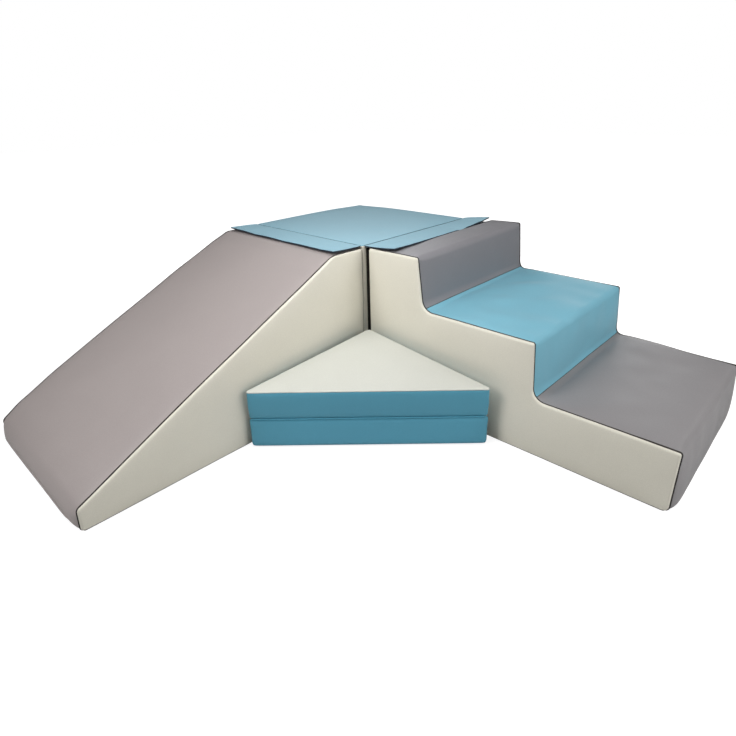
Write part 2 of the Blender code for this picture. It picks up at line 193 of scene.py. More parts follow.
def foam_core(node, body, finish):
    """A foam core in the place of its CAD solid, shrunk to lie under its cover."""
    mesh = bpy.data.objects[node].data.copy()
    core = shown(node + "_cut", mesh)
    mesh.materials.clear()
    mesh.materials.append(finish)
    remesh = core.modifiers.new("cells", "REMESH")
    remesh.mode, remesh.voxel_size, remesh.use_smooth_shade = "VOXEL", FOAM_CELL, True
    pressed = core.modifiers.new("pressed in", "DISPLACE")
    pressed.strength, pressed.mid_level = -FOAM_PRESSED_IN, 0.0
    rounding = core.modifiers.new("rounded edges", "SMOOTH")
    rounding.factor, rounding.iterations = 0.5, 4
    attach(core, body)
    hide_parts(node)
    return core


FOAM = foam_finish()
CORES = {
    "block": ["block_foam_core"],
    "ramp": ["ramp_foam_core"],
    "stairs": ["stairs_bottom_foam", "stairs_middle_foam", "stairs_top_foam"],
    "mat_lower": ["mat_lower_foam"],
    "mat_upper": ["mat_upper_foam"],
}
cores = {body: [foam_core(node, body, FOAM) for node in nodes] for body, nodes in CORES.items()}


# The corner block's cover: one cream band round four sides, a light blue top and a dark base cloth.
# The panels are coated cloth sewn inside out, so each rim rolls over the foam and into its seam.
# The band closes by its corner with the ramp, inside the gap at the steps, on a taped seam whose dark
# tape is painted shade that darkens the gap.

WIDTH = 0.550
HALF = WIDTH / 2
BLOCK_TOP = 0.4641
BLOCK_CORNER = 0.012
BLOCK_CROWN = 0.0045
CLOTH = 0.0010
EDGE_ROUND = 0.0050
OVER_ROUND = 0.0058
SEAM_ROUND = 0.0014
SEAM_SLOT = 0.0004
OPEN_SLOT = 0.0018
SEAM_SINK = 0.0008
SEAM_TUCK = 0.0025
ROW_STEP = 0.008
ARC_POINTS = 13
GRID_STEP = 0.011
SWELL_REACH = 0.030
EVEN = {"broad": 0.0, "pucker": 0.0}
WAVE_FADE = 0.035
PUCKER_FADE = 0.014
SINK_FADE = 0.008
GIVE_REACH = 0.016
BEND_HOLD = 0.9
FLOOR_FADE = 0.06

CREAM = linear((224, 220, 206))
LIGHT_BLUE = linear((140, 186, 203))
BASE_GREY = linear((62, 64, 68))


def vinyl(name, colour, roughness=0.46, grain=0.30, mottle=0.035):
    """Coated cloth with an embossed leather grain, a soft shine, and slight unevenness of colour."""
    made, place, shader = new_finish(name)
    pebbles = place.node("TexVoronoi", {"feature": "SMOOTH_F1"},
                         {"Vector": place, "Scale": 620.0, "Smoothness": 0.7}, "Distance")
    pores = place.spread(1900.0)
    relief = pebbles.ramp(0.05, 0.75) * 0.8 + pores * 0.2
    drift = place.spread(3.5, 3.0)
    streaks = place.spread(17.0, 4.0, 0.6)
    tone = (drift * 0.65 + streaks * 0.35).ramp(0.25, 0.75)
    base = tone.blend(shade(colour, 1 - mottle), shade(colour, 1 + mottle))
    valleys = pebbles.ramp(0.15, 0.55)
    # Painted shade: the colour darkens in the grain's valleys.
    valley_shaded = valleys.blend(base, tone.blend(shade(colour, 0.94 - mottle), shade(colour, 0.96)))
    sheen = streaks.ramp(0.3, 0.7) * 0.06 + valleys * 0.05 + (roughness - 0.05)
    shader.inputs["Specular IOR Level"].default_value = 0.42
    shader.inputs["Sheen Weight"].default_value = 0.06
    shader.inputs["Sheen Roughness"].default_value = 0.4
    place.plug(shader, {"Base Color": valley_shaded, "Roughness": sheen,
                        "Normal": bumped(place, relief, grain, 0.0003)})
    return made


def woven(name, colour, threads, roughness=0.9):
    """Plain woven cloth: over and under threads, so many to the metre."""
    made, place, shader = new_finish(name)
    waves = [place.node("TexWave", {"bands_direction": way},
                        {"Vector": place, "Scale": threads / 20, "Distortion": 0.4}, "Fac")
             for way in ("X", "Y", "Z")]
    weave = (waves[0] + waves[1] + waves[2]) * (1 / 3)
    fluff = place.spread(240.0, 4.0)
    tone = (weave * 0.7 + fluff * 0.3).ramp(0.2, 0.8)
    base = tone.blend(shade(colour, 0.72), shade(colour, 1.25))
    shader.inputs["Roughness"].default_value = roughness
    place.plug(shader, {"Base Color": base, "Normal": bumped(place, weave, 0.5, 0.0004)})
    return made


def rounded_path(corners, step=ROW_STEP):
    """Points round an anticlockwise outline of (x, y, radius) corners, each with its outward direction.

    Also gives the numbers of the points where each corner's arc starts and ends.
    """
    points, outward, arcs = [], [], []
    bends = []
    for number, (x, y, radius) in enumerate(corners):
        here = Vector((x, y))
        arriving = here - Vector(corners[number - 1][:2])
        leaving = Vector(corners[(number + 1) % len(corners)][:2]) - here
        turn = math.atan2(arriving.cross(leaving), arriving.dot(leaving))
        reach = radius * math.tan(abs(turn) / 2)
        start = here - arriving.normalized() * reach
        side = math.copysign(1, turn)
        inward = Vector((-arriving.y, arriving.x)).normalized() * side
        bends.append((start, start + inward * radius, turn, side, here + leaving.normalized() * reach))
    for number, (start, centre, turn, side, end) in enumerate(bends):
        first = len(points)
        for share in np.linspace(0, 1, ARC_POINTS):
            arm = Matrix.Rotation(turn * share, 2) @ (start - centre)
            points.append(centre + arm)
            outward.append(arm.normalized() * side)
        arcs.append((first, len(points) - 1))
        following = bends[(number + 1) % len(bends)][0]
        count = max(int((following - end).length / step), 1)
        for share in np.linspace(0, 1, count + 1)[1:-1]:
            points.append(end.lerp(following, share))
            outward.append(outward[-1])
    return np.array(points), np.array(outward), arcs


def edge_rim(radius=EDGE_ROUND, fold_round=SEAM_ROUND):
    """(distance from the edge, depth) over a rim at a square edge, from inside its seam to the flat."""
    least = radius - fold_round
    first = math.radians(45) - math.asin((fold_round + SEAM_SLOT / 2) / least)
    shoulder = [(radius * (1 - math.sin(a)), radius * (1 - math.cos(a)))
                for a in np.linspace(0, first, 5)]
    across, down = radius - least * math.sin(first), radius - least * math.cos(first)
    fold = [(across - fold_round * math.sin(a), down - fold_round * math.cos(a))
            for a in np.linspace(first, math.radians(135), 9)[1:]]
    tuck = SEAM_TUCK / math.sqrt(2)
    return [(fold[-1][0] + tuck, fold[-1][1] + tuck)] + (shoulder + fold)[::-1]


def flush_rim():
    """The same over a rim that meets its neighbour in one surface."""
    fold = [(SEAM_SLOT / 2 + SEAM_ROUND * (1 - math.sin(a)), SEAM_ROUND * (1 - math.cos(a)))
            for a in np.linspace(0, math.radians(90), 7)]
    return [(fold[-1][0], fold[-1][1] + SEAM_TUCK)] + fold[::-1]


def over_rim(radius=OVER_ROUND):
    """The same where a panel wraps right round the edge, to a seam on its neighbour's face."""
    shoulder = [(radius * (1 - math.sin(a)), radius * (1 - math.cos(a)))
                for a in np.linspace(0, math.radians(90), 5)]
    fold = [(SEAM_ROUND * (1 - math.cos(a)), radius + SEAM_ROUND * math.sin(a))
            for a in np.linspace(0, math.radians(90), 9)[1:]]
    return [(fold[-1][0] + SEAM_TUCK, fold[-1][1])] + (shoulder + fold)[::-1]


def under_rim(radius=OVER_ROUND, slot=OPEN_SLOT, sink=SEAM_SINK):
    """The rim of that neighbour, a slot's width further in from the edge."""
    start = radius + SEAM_ROUND + slot - SEAM_SLOT / 2
    return [(start + distance, down + sink) for distance, down in flush_rim()]


def inset_corners(corners, distance, least=0.0015):
    """The corners of an outline cut smaller by a distance all round."""
    made = []
    for number, (x, y, radius) in enumerate(corners):
        here = Vector((x, y))
        arriving = (here - Vector(corners[number - 1][:2])).normalized()
        leaving = (Vector(corners[(number + 1) % len(corners)][:2]) - here).normalized()
        turn = math.atan2(arriving.cross(leaving), arriving.dot(leaving))
        moved = here + Vector((-arriving.y, arriving.x)) * distance
        moved -= arriving * distance * math.tan(turn / 2)
        bent = radius - distance if turn > 0 else radius + distance
        made.append((moved.x, moved.y, max(bent, least)))
    return made


def matched_path(corners, like):
    """The points of an outline with as many points on each side as another has."""
    path, outward, arcs = rounded_path(corners)
    like_arcs = like[2]
    points, normals = [], []
    for number, (first, last) in enumerate(arcs):
        points.append(path[first:last + 1])
        normals.append(outward[first:last + 1])
        following = like_arcs[(number + 1) % len(arcs)][0] or len(like[0])
        between = following - like_arcs[number][1] - 1
        start, end = path[last], path[arcs[(number + 1) % len(arcs)][0]]
        shares = np.linspace(0, 1, between + 2)[1:-1, None]
        points.append(start * (1 - shares) + end * shares)
        normals.append(np.repeat(outward[last][None], between, axis=0))
    return np.concatenate(points), np.concatenate(normals)


def graded(low, high, step):
    """Places from low to high that are close together at both ends and a step apart between them."""
    span = high - low
    count = max(int(round(span / step)) + 4, 4)
    shares = np.linspace(0, 1, count + 1)
    eased = shares - 0.55 * np.sin(2 * np.pi * shares) / (2 * np.pi)
    return low + span * eased


def pull(distance, reach=SWELL_REACH):
    """How far a panel has risen from a seam: 0 at the seam and nearly 1 beyond the reach."""
    return 1 - np.exp(-np.maximum(distance, 0) / reach)


def unevenness(points, seam_distance, seed, broad=0.0008, pucker=0.0004):
    """The cover's slight waves over the foam, and the short puckers along its seams."""
    offset = Vector((seed * 7.3, seed * 3.1, seed * 5.7))
    heights = np.zeros(len(points))
    for number, (point, distance) in enumerate(zip(points, seam_distance)):
        at = Vector(point) + offset
        waves = noise.noise(at * 6.5) + 0.7 * noise.noise(at * 15.0)
        heights[number] = broad * waves * (1 - math.exp(-distance / WAVE_FADE))
        heights[number] += pucker * noise.noise(at * 62.0) * math.exp(-distance / PUCKER_FADE)
    return heights


def sew(name, points, faces, finish, area=None):
    """A cover panel from its outer surface: closed to the cloth's thickness, and put on its body.

    Its name starts with its body's, and the CAD's panel is named like it. The finish is named like its
    slot in the record, and Blender adds a number to it where the CAD's own material has that name.
    """
    body = next(body for body in cores if name.startswith(body))
    panel = new_piece(name, points, faces, finish)
    thicken(panel, CLOTH)
    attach(panel, body)
    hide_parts(name.replace("_band_cover", "_side_band").replace("_cover", "_panel"))


def grid_faces(rows, columns, ring=False, flip=False):
    """Quads over a grid of points, closed round its rows if it is a ring."""
    faces = []
    for row in range(rows if ring else rows - 1):
        for column in range(columns - 1):
            a, b = row * columns + column, row * columns + column + 1
            c, d = ((row + 1) % rows) * columns + column + 1, ((row + 1) % rows) * columns + column
            faces.append((a, d, c, b) if flip else (a, b, c, d))
    return faces


def off_line(points, a, b):
    """How far each point lies from the straight line between two ends."""
    along = np.clip((points - a) @ (b - a) / max((b - a) @ (b - a), 1e-12), 0, 1)
    return np.linalg.norm(points - (a + along[:, None] * (b - a)), axis=1)


def segment_distances(points, corners):
    """How far each point lies from each straight side of an outline, one column to a side."""
    ends = [np.array(corner[:2]) for corner in corners]
    return np.array([off_line(points, a, b) for a, b in zip(ends, ends[1:] + ends[:1])]).T


def flat_panel(corners, crown, seed, reach=SWELL_REACH, broad=0.0008, pucker=0.0004, step=GRID_STEP,
               rim=None, over=None, over_round=OVER_ROUND):
    """A panel on a flat face: its plan, its heights above that face, and its faces.

    The rim rolls into the seam all round, and the middle swells by the crown. Over gives each point
    of the outline a share of the rim that wraps right round the edge.
    """
    whole = rounded_path(corners)
    path, count = whole[0], len(whole[0])
    rim = rim or edge_rim()
    rings = [matched_path(inset_corners(corners, distance), whole)[0] for distance, _ in rim]
    downs = [np.full(count, down) for _, down in rim]
    if over is not None:
        for ring, (distance, down) in enumerate(over_rim(over_round)):
            wrapped = matched_path(inset_corners(corners, distance), whole)[0]
            rings[ring] = rings[ring] * (1 - over[:, None]) + wrapped * over[:, None]
            downs[ring] = downs[ring] * (1 - over) + down * over
    low, high = path.min(0), path.max(0)
    spots = [(x + (row % 2) * step / 2, y)
             for row, y in enumerate(np.arange(low[1] + step / 2, high[1], step * 0.87))
             for x in np.arange(low[0] + step / 2, high[0], step)]
    spots = np.array(spots)
    loop = rings[-1]
    crossing = np.zeros(len(spots), bool)
    nearest = np.full(len(spots), np.inf)
    for a, b in zip(loop, np.roll(loop, -1, axis=0)):
        nearest = np.minimum(nearest, off_line(spots, a, b))
        if a[1] != b[1]:
            straddles = (a[1] > spots[:, 1]) != (b[1] > spots[:, 1])
            meets = (b[0] - a[0]) * (spots[:, 1] - a[1]) / (b[1] - a[1]) + a[0]
            crossing ^= straddles & (spots[:, 0] < meets)
    inside = spots[crossing & (nearest > step * 0.55)]
    plan = [Vector(point) for point in np.concatenate([loop, inside])]
    ring_edges = [(n, (n + 1) % count) for n in range(count)]
    made, _, triangles, origin, _, _ = delaunay_2d_cdt(plan, ring_edges, [], 1, 1e-7)
    first = (len(rings) - 1) * count
    renumber = [first + sources[0] for sources in origin]
    faces = [tuple(renumber[v] for v in triangle) for triangle in triangles]
    for ring in range(len(rings) - 1):
        for number in range(count):
            a, b = ring * count + number, ring * count + (number + 1) % count
            faces.append((a, b, b + count, a + count))
    flat = np.concatenate([*rings, inside])
    depth = np.concatenate([*downs, np.zeros(len(inside))])
    sides = segment_distances(flat, corners)
    risen = crown * np.prod(pull(sides, reach), axis=1)
    seam = sides.min(axis=1)
    heights = risen - depth + unevenness(np.c_[flat, np.zeros(len(flat))], seam, seed, broad, pucker)
    return flat, heights, faces


def flipped(faces):
    """The faces turned over."""
    return [face[::-1] for face in faces]


def plan_area(path):
    """The area inside a closed outline."""
    x, y = path[:, 0], path[:, 1]
    return abs(x @ np.roll(y, -1) - y @ np.roll(x, -1)) / 2


def at(values, places):
    """Rows of an array taken at fractional numbers, in a straight line between neighbours."""
    low = np.clip(np.floor(places).astype(int), 0, len(values) - 2)
    share = (places - low)[:, None]
    return values[low] * (1 - share) + values[low + 1] * share


def section(width, low=None, high=None, step=GRID_STEP):
    """A flat width of cloth between two rims: its depths and its places across."""
    low, high = low or edge_rim(), high or edge_rim()
    flat = graded(low[-1][0], width - high[-1][0], step)[1:-1]
    sunk = low[-1][1] * np.exp((low[-1][0] - flat) / SINK_FADE)
    sunk += high[-1][1] * np.exp((flat + high[-1][0] - width) / SINK_FADE)
    depths = [down for _, down in low] + list(sunk) + [down for _, down in high[::-1]]
    across = [edge for edge, _ in low] + list(flat) + [width - edge for edge, _ in high[::-1]]
    return np.array(depths), np.array(across)


def swept_panel(path, outward, depths, across, crown, seed, closed=False, soft=None, bends=(),
                reach=SWELL_REACH, broad=0.0008, pucker=0.0004, inset=None):
    """A panel swept along an outline: a grid of (outline x, outline y, across) and how far it is long.

    Its two long rims roll into seams, and so do the ends of an outline that isn't closed. It swells
    between its seams and its bends. Away from the seams it follows the soft outline, if there is one.
    Where the rims reach in further than a corner's radius, inset gives the outline at each depth.
    """
    steps = np.linalg.norm(np.diff(path, axis=0), axis=1)
    along = np.concatenate([[0], np.cumsum(steps)])
    length = along[-1]
    stations, sunk = along, np.zeros(len(along))
    held = [(along[bend], BEND_HOLD) for bend in bends]
    if not closed:
        rim = flush_rim()
        clear = rim[-1][0] + 0.0008
        middle = along[(along > clear) & (along < length - clear)]
        downs = [down for _, down in rim]
        stations = np.concatenate([[d for d, _ in rim], middle, [length - d for d, _ in rim[::-1]]])
        sunk = np.concatenate([downs, np.zeros(len(middle)), downs[::-1]])
        held += [(0.0, 1.0), (length, 1.0)]
    numbers = np.interp(stations, along, np.arange(len(path)))
    firm_points, firm_out = at(path, numbers), at(outward, numbers)
    soft_points, soft_out = (at(part, numbers) for part in soft or (path, outward))
    width = across.max() + across.min()
    from_seam = np.minimum(across, width - across)
    rise_along = np.prod([1 - hold * np.exp(-np.abs(stations - s) / reach) for s, hold in held], axis=0)
    rise_along = rise_along if held else np.ones(len(stations))
    risen = crown * np.outer(rise_along, pull(from_seam, reach))
    give = pull(from_seam - EDGE_ROUND, GIVE_REACH)[None, :, None]
    points = firm_points[:, None] * (1 - give) + soft_points[:, None] * give
    if inset:
        points = np.stack([inset(depth) for depth in depths], axis=1)
        depths = np.zeros(len(depths))
    normal = firm_out[:, None] * (1 - give) + soft_out[:, None] * give
    normal /= np.maximum(np.linalg.norm(normal, axis=2, keepdims=True), 1e-9)
    seam = np.minimum(from_seam[None, :], from_seam[None, :] if closed else
                      np.minimum(stations, length - stations)[:, None])
    grid = np.dstack([points, np.broadcast_to(across, points.shape[:2])])
    uneven = unevenness(grid.reshape(-1, 3), np.maximum(seam, 0).ravel(), seed, broad, pucker)
    lift = risen + uneven.reshape(risen.shape) - depths[None, :] - sunk[:, None]
    grid[:, :, :2] += normal * lift[:, :, None]
    return grid, length


def picked(path, outward, first, last):
    """The stretch of a closed outline from one point to another."""
    numbers = [number % len(path) for number in range(first, last + 1)]
    return path[numbers], outward[numbers]


def over_shares(count, first, last):
    """1 for the points of an outline from one to another, and 0 for the rest."""
    numbers = np.arange(count)
    return np.clip(np.minimum(numbers - first, last - numbers) / 3 + 0.5, 0, 1)


def softened(points, seed):
    """Sewn foam is never quite true: shifts the points of a module a little, less near the floor."""
    offset = Vector((seed * 4.1, seed * 2.3, seed * 6.7))
    shifts = [noise.noise_vector(Vector(point) * 5.0 + offset) for point in points]
    return np.asarray(points) + WANDER * np.array(shifts) * np.clip(points[:, 2:] / FLOOR_FADE, 0, 1)


def settled(points, corners, shifts, reach):
    """Moves a module with its corners, which have settled: in mm, for its side at -y and that at +y."""
    points = np.asarray(points, float)
    away = np.linalg.norm(points[:, None, [0, 2]] - np.array(corners)[None, :, :2], axis=2)
    pulls = np.exp(-0.5 * (away / reach) ** 2) + 1e-5
    pulls /= pulls.sum(axis=1, keepdims=True)
    low, high = (pulls @ (np.array(side) / 1000) for side in shifts)
    share = np.clip(points[:, 1:2] / WIDTH + 0.5, 0, 1)
    moves = low * (1 - share) + high * share
    moves[:, 2] *= np.clip(points[:, 2] / 0.03, 0, 1)
    return points + moves


def settle_cores(body, stand, corners, shifts, reach):
    """Moves the foam of a module with its cover, though no part of it upward."""
    origin, axes = stand[0], np.array([*stand[1:], (0, 0, 1)], float)
    for core in cores[body]:
        spots = np.array([vertex.co for vertex in core.data.vertices])
        moved = settled((spots - origin) @ axes.T, corners, shifts, reach) @ axes + origin
        moved[:, 2] = np.minimum(moved[:, 2], spots[:, 2])
        for vertex, spot in zip(core.data.vertices, moved):
            vertex.co = spot


def eased(value, stops):
    """A smooth curve through (place, level) stops."""
    places, levels = np.array(stops).T
    number = np.clip(np.searchsorted(places, value) - 1, 0, len(places) - 2)
    share = np.clip((value - places[number]) / (places[number + 1] - places[number]), 0, 1)
    share = share * share * (3 - 2 * share)
    return levels[number] * (1 - share) + levels[number + 1] * share


def cord(name, line, across, radius, body, finish=None):
    """A dark piping cord laid along a line of points, with one radius or a radius for each point. By
    default it takes the dark piping cloth, whose darkness is partly painted shade of the seam it lies in.
    """
    line = np.asarray(line, float)
    along = np.gradient(line, axis=0)
    along /= np.linalg.norm(along, axis=1, keepdims=True)
    side_way = np.cross(along, np.array(across, float))
    side_way /= np.linalg.norm(side_way, axis=1, keepdims=True)
    other_way = np.cross(side_way, along)
    swell = [1 + CORD_UNEVEN * noise.noise(Vector(point) * 40) for point in line]
    radius = (np.asarray(radius) * swell)[:, None]
    rings = [line + radius * (side_way * math.cos(t) + other_way * math.sin(t))
             for t in np.linspace(0, 2 * math.pi, CORD_SIDES + 1)[:-1]]
    count = len(line)
    starts = [turn * count for turn in range(CORD_SIDES)]
    faces = [(a + n, a + n + 1, b + n + 1, b + n)
             for a, b in zip(starts, starts[1:] + starts[:1]) for n in range(count - 1)]
    faces += [tuple(starts), tuple(start + count - 1 for start in starts[::-1])]
    made = new_piece(name, [point for ring in rings for point in ring], faces, finish or WELT_AND_SEAM_SHADE)
    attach(made, body)


CORD_SIDES = 8
CORD_UNEVEN = 0.12
WANDER = 0.0014
NOISE_SEED = 1
noise.seed_set(NOISE_SEED)  # noise_vector differs from run to run until it is seeded
# Dark piping cloth: partly real piping, partly painted shade of the seam grooves and of the contact line
# at the floor.
WELT_AND_SEAM_SHADE = woven("welt_and_seam_shade", linear((42, 37, 34)), 2400, 0.7)
BASE_CLOTH = woven("base_cloth", BASE_GREY, 1500)
CREAM_VINYL = vinyl("cream_vinyl", CREAM)
LIGHT_BLUE_VINYL = vinyl("light_blue_vinyl", LIGHT_BLUE)

CORNER_SINKS = 0.0058
CORNER_REACH = 0.13
GAP_SHADE_SPAN = (0.006, 0.454)
GAP_SHADE_IN = 0.0205
GAP_SHADE_HALF = 0.0065
GAP_SHADE_OUT = 0.0006
GAP_SHADE_ROUND = 0.0012


def block_place(points):
    """Lets the block's far corner sink a little."""
    x, y, z = np.asarray(points, float).T
    sunk = CORNER_SINKS * np.exp(-((x + HALF) ** 2 + (y - HALF) ** 2) / CORNER_REACH ** 2)
    return np.c_[x, y, z - sunk * np.clip(z / BLOCK_TOP, 0, 1)]


block_plan = [(-HALF, -HALF, BLOCK_CORNER), (HALF, -HALF, BLOCK_CORNER),
              (HALF, HALF, BLOCK_CORNER), (-HALF, HALF, BLOCK_CORNER)]
flat, heights, faces = flat_panel(block_plan, BLOCK_CROWN, 1, reach=0.045)
sew("block_top_cover", block_place(np.c_[flat, BLOCK_TOP + heights]), faces, LIGHT_BLUE_VINYL)

flat, heights, faces = flat_panel(block_plan, 0.0, 2, **EVEN, step=0.02)
sew("block_base_cover", np.c_[flat, -heights], flipped(faces), BASE_CLOTH)

path, outward, arcs = rounded_path(block_plan)
depths, across = section(BLOCK_TOP)
corners = [(first + last) // 2 for first, last in arcs]
grid, length = swept_panel(path, outward, depths, across, 0.0025, 3, closed=True, bends=corners)
sew("block_band_cover", block_place(grid.reshape(-1, 3)),
    grid_faces(*grid.shape[:2], ring=True, flip=True), CREAM_VINYL)

# A dark tape in the gap between block and steps: painted shade that makes the deep gap read black.
heights = np.linspace(*GAP_SHADE_SPAN, 60)
gap_tape_rows = [(HALF + GAP_SHADE_OUT + GAP_SHADE_ROUND * math.cos(turn),
              -HALF + GAP_SHADE_IN + GAP_SHADE_HALF * math.sin(turn))
             for turn in np.linspace(-math.pi / 2, math.pi / 2, 9)]
gap_shade_tape = new_piece("block_gap_shade_tape", [(x, y, z) for z in heights for x, y in gap_tape_rows],
                      grid_faces(len(heights), len(gap_tape_rows), flip=True), WELT_AND_SEAM_SHADE)
thicken(gap_shade_tape, 0.0004)
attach(gap_shade_tape, "block")


# The ramp's cover: a taupe slope that runs over the toe and the platform, cream sides and back, and
# a base cloth. The foam is a little full in the middle of the slope, most of all on its outer side.

MODULE_HEIGHT = 0.460
RAMP_GAP = 0.006
RAMP_LENGTH = 0.900
RAMP_PLATFORM = 0.120
TOE_HEIGHT = 0.055
BACK_EDGE = 0.0065
FIRM_TOE = (0.009, 0.012)
SOFT_TOE = (0.022, 0.056)
TOE_PUFF = 0.0075
TOE_SHORT = -0.004
RAMP_BEND = 0.060
WELT_RADIUS = 0.0021
WELT_DEPTH = -0.0001
WELT_CLEAR = 1.15
RAMP_WELTS = {1: 0.92, -1: 0.7}
BASE_WELT = 0.0012
BASE_WELT_DEPTH = 0.0018
SLOPE_CROWN = 0.0045
SIDE_CROWN = 0.0040
RAMP_FALL = [(0, 0), (RAMP_LENGTH, 0), (RAMP_LENGTH, TOE_HEIGHT), (0.64, 0.19), (0.38, 0.325),
             (RAMP_PLATFORM, MODULE_HEIGHT), (0, MODULE_HEIGHT)]
RAMP_SETTLED = [[(0, 0, 0)] * 7,
                [(0, 0, 0), (0, 6, 0), (-1, 4, -2), (-1.5, 1, -1.5), (0.5, 3.5, -5), (-2, 4, -5),
                 (-2, 3.5, -3)]]
RAMP_REACH = 0.13
RAMP_STAND = ((0, -HALF - RAMP_GAP, 0), (0, -1, 0), (1, 0, 0))
BOW_INNER = [(0.0, 0.0), (0.5, 0.003), (1.0, 0.0)]
BOW_OUTER = [(0.0, 0.003), (0.1, 0.0085), (0.3, 0.0135), (0.55, 0.0155), (0.78, 0.016), (0.92, 0.0115),
             (1.0, 0.003)]

TAUPE_VINYL = vinyl("taupe_vinyl", linear((168, 159, 157)))


def placed(points, origin, along, across, up=(0, 0, 1)):
    """Points of a module's own frame in the frame of the CAD."""
    return np.asarray(points) @ np.array([along, across, up], float) + np.array(origin)


def ramp_place(points):
    """Bows the slope outward between its bend and its toe, and stands the ramp in its place."""
    x, y, z = settled(points, RAMP_FALL, RAMP_SETTLED, RAMP_REACH).T
    run = RAMP_LENGTH - RAMP_PLATFORM
    fall = MODULE_HEIGHT - TOE_HEIGHT
    share = np.clip((x - RAMP_PLATFORM) / run, 0, 1)
    surface = MODULE_HEIGHT - fall * share
    inner = np.clip(y / WIDTH + 0.5, 0, 1)
    bow = eased(share, BOW_OUTER) * (1 - inner) + eased(share, BOW_INNER) * inner
    lifted = bow * np.clip(z / surface, 0, 1) * np.clip((x - 0.08) / 0.05, 0, 1)
    slope = math.atan2(fall, run)
    moved = softened(np.c_[x + lifted * math.sin(slope), y, z + lifted * math.cos(slope)], 1)
    moved[:, 2] = np.minimum(moved[:, 2], MODULE_HEIGHT)
    return placed(moved, *RAMP_STAND)


settle_cores("ramp", RAMP_STAND, RAMP_FALL, RAMP_SETTLED, RAMP_REACH)


def wrap(name, place, outline, first, last, finish, seed, crown=0.0, soft=None, bends=(),
         broad=0.0008, pucker=0.0004, step=GRID_STEP, rim=None, reach=SWELL_REACH):
    """A panel wrapped over a module from one point of its side profile to another."""
    path, outward = picked(*outline, first, last)
    soft = picked(*soft, first, last) if soft else None
    depths, across = section(WIDTH, rim, rim, step)
    inner_bends = [bend - first for bend in bends]
    grid, length = swept_panel(path, outward, depths, across, crown, seed, soft=soft, reach=reach,
                               bends=inner_bends, broad=broad, pucker=pucker)
    points = grid.reshape(-1, 3)[:, [0, 2, 1]] - np.array([0, HALF, 0])
    sew(name, place(points), grid_faces(*grid.shape[:2]), finish)


def side(name, place, corners, facing, seed, over):
    """An upright end panel cut to a module's side profile; facing is +1 or -1 across the module."""
    flat, heights, faces = flat_panel(corners, SIDE_CROWN, seed, over=over)
    points = np.c_[flat[:, 0], facing * (HALF + heights), flat[:, 1]]
    turned = flipped(faces) if facing > 0 else faces
    path = rounded_path(corners)[0]
    sew(name, place(points), turned, CREAM_VINYL, plan_area(path))


def side_welt(name, place, outline, over, facing, body, sizes):
    """The dark piping all round a side panel, partly painted shade: in the seam along the wrapped edges
    and as a contact line along the base. Sizes are (share of the way round, level) on its wrapped part.
    """
    path, outward = (np.concatenate([part, part[:1]]) for part in outline)
    over = np.concatenate([over, over[:1]])
    line = path - outward * (WELT_DEPTH * over + BASE_WELT_DEPTH * (1 - over))[:, None]
    seam = OVER_ROUND + SEAM_ROUND + OPEN_SLOT / 2
    across = facing * (HALF - seam * over - BASE_WELT_DEPTH * (1 - over))
    points = place(np.c_[line[:, 0], across, line[:, 1]])
    levels = eased(np.linspace(0, 1, len(path)), sizes)
    radius = WELT_RADIUS * levels * over + BASE_WELT * (1 - over)
    points[:, 2] = np.maximum(points[:, 2], WELT_CLEAR * radius)
    across_way = place(np.array([[0, 1, 0.3], [0, 0, 0.3]]))
    cord(name, points, across_way[0] - across_way[1], radius, body)


def ramp_profile(toe, puff):
    """The corners of the ramp's side, with the radii of its toe and how far the toe is puffed out."""
    return [(0, 0, BACK_EDGE), (RAMP_LENGTH + puff, 0, toe[0]),
            (RAMP_LENGTH + puff, TOE_HEIGHT - puff * 0.4, toe[1]),
            (RAMP_PLATFORM, MODULE_HEIGHT, RAMP_BEND), (0, MODULE_HEIGHT, BACK_EDGE)]


firm_profile = ramp_profile(FIRM_TOE, TOE_SHORT)
firm = rounded_path(firm_profile)
path, outward, arcs = firm
outline, soft = (path, outward), matched_path(ramp_profile(SOFT_TOE, TOE_PUFF), firm)
MID_ARC = ARC_POINTS // 2
FOOT_ARC = ARC_POINTS // 4
back_foot, toe_foot, back_top = arcs[0][0] + MID_ARC, arcs[1][0] + FOOT_ARC, arcs[4][0] + MID_ARC
bends = [arcs[2][0] + MID_ARC, arcs[3][0] + MID_ARC]
wrap("ramp_slope_cover", ramp_place, outline, toe_foot, back_top, TAUPE_VINYL, 4, SLOPE_CROWN, soft,
     bends, rim=under_rim())
wrap("ramp_back_cover", ramp_place, outline, back_top, back_foot + len(path), CREAM_VINYL, 5, 0.002)
wrap("ramp_base_cover", ramp_place, outline, back_foot, toe_foot, BASE_CLOTH, 6, soft=soft,
     **EVEN, step=0.03)
for name, facing in (("inner", 1), ("outer", -1)):
    over = over_shares(len(path), toe_foot, back_top)
    side(f"ramp_{name}_side_cover", ramp_place, firm_profile, facing, 8 + facing, over)
    sizes = [(share, RAMP_WELTS[facing]) for share in (0, 1)]
    side_welt(f"ramp_{name}_welt", ramp_place, outline, over, facing, "ramp", sizes)


# The steps' cover: one panel over each step, joined where a tread meets the next riser, between
# cream sides. The noses are crisp at the side seams and soft between them, where the foam gives.

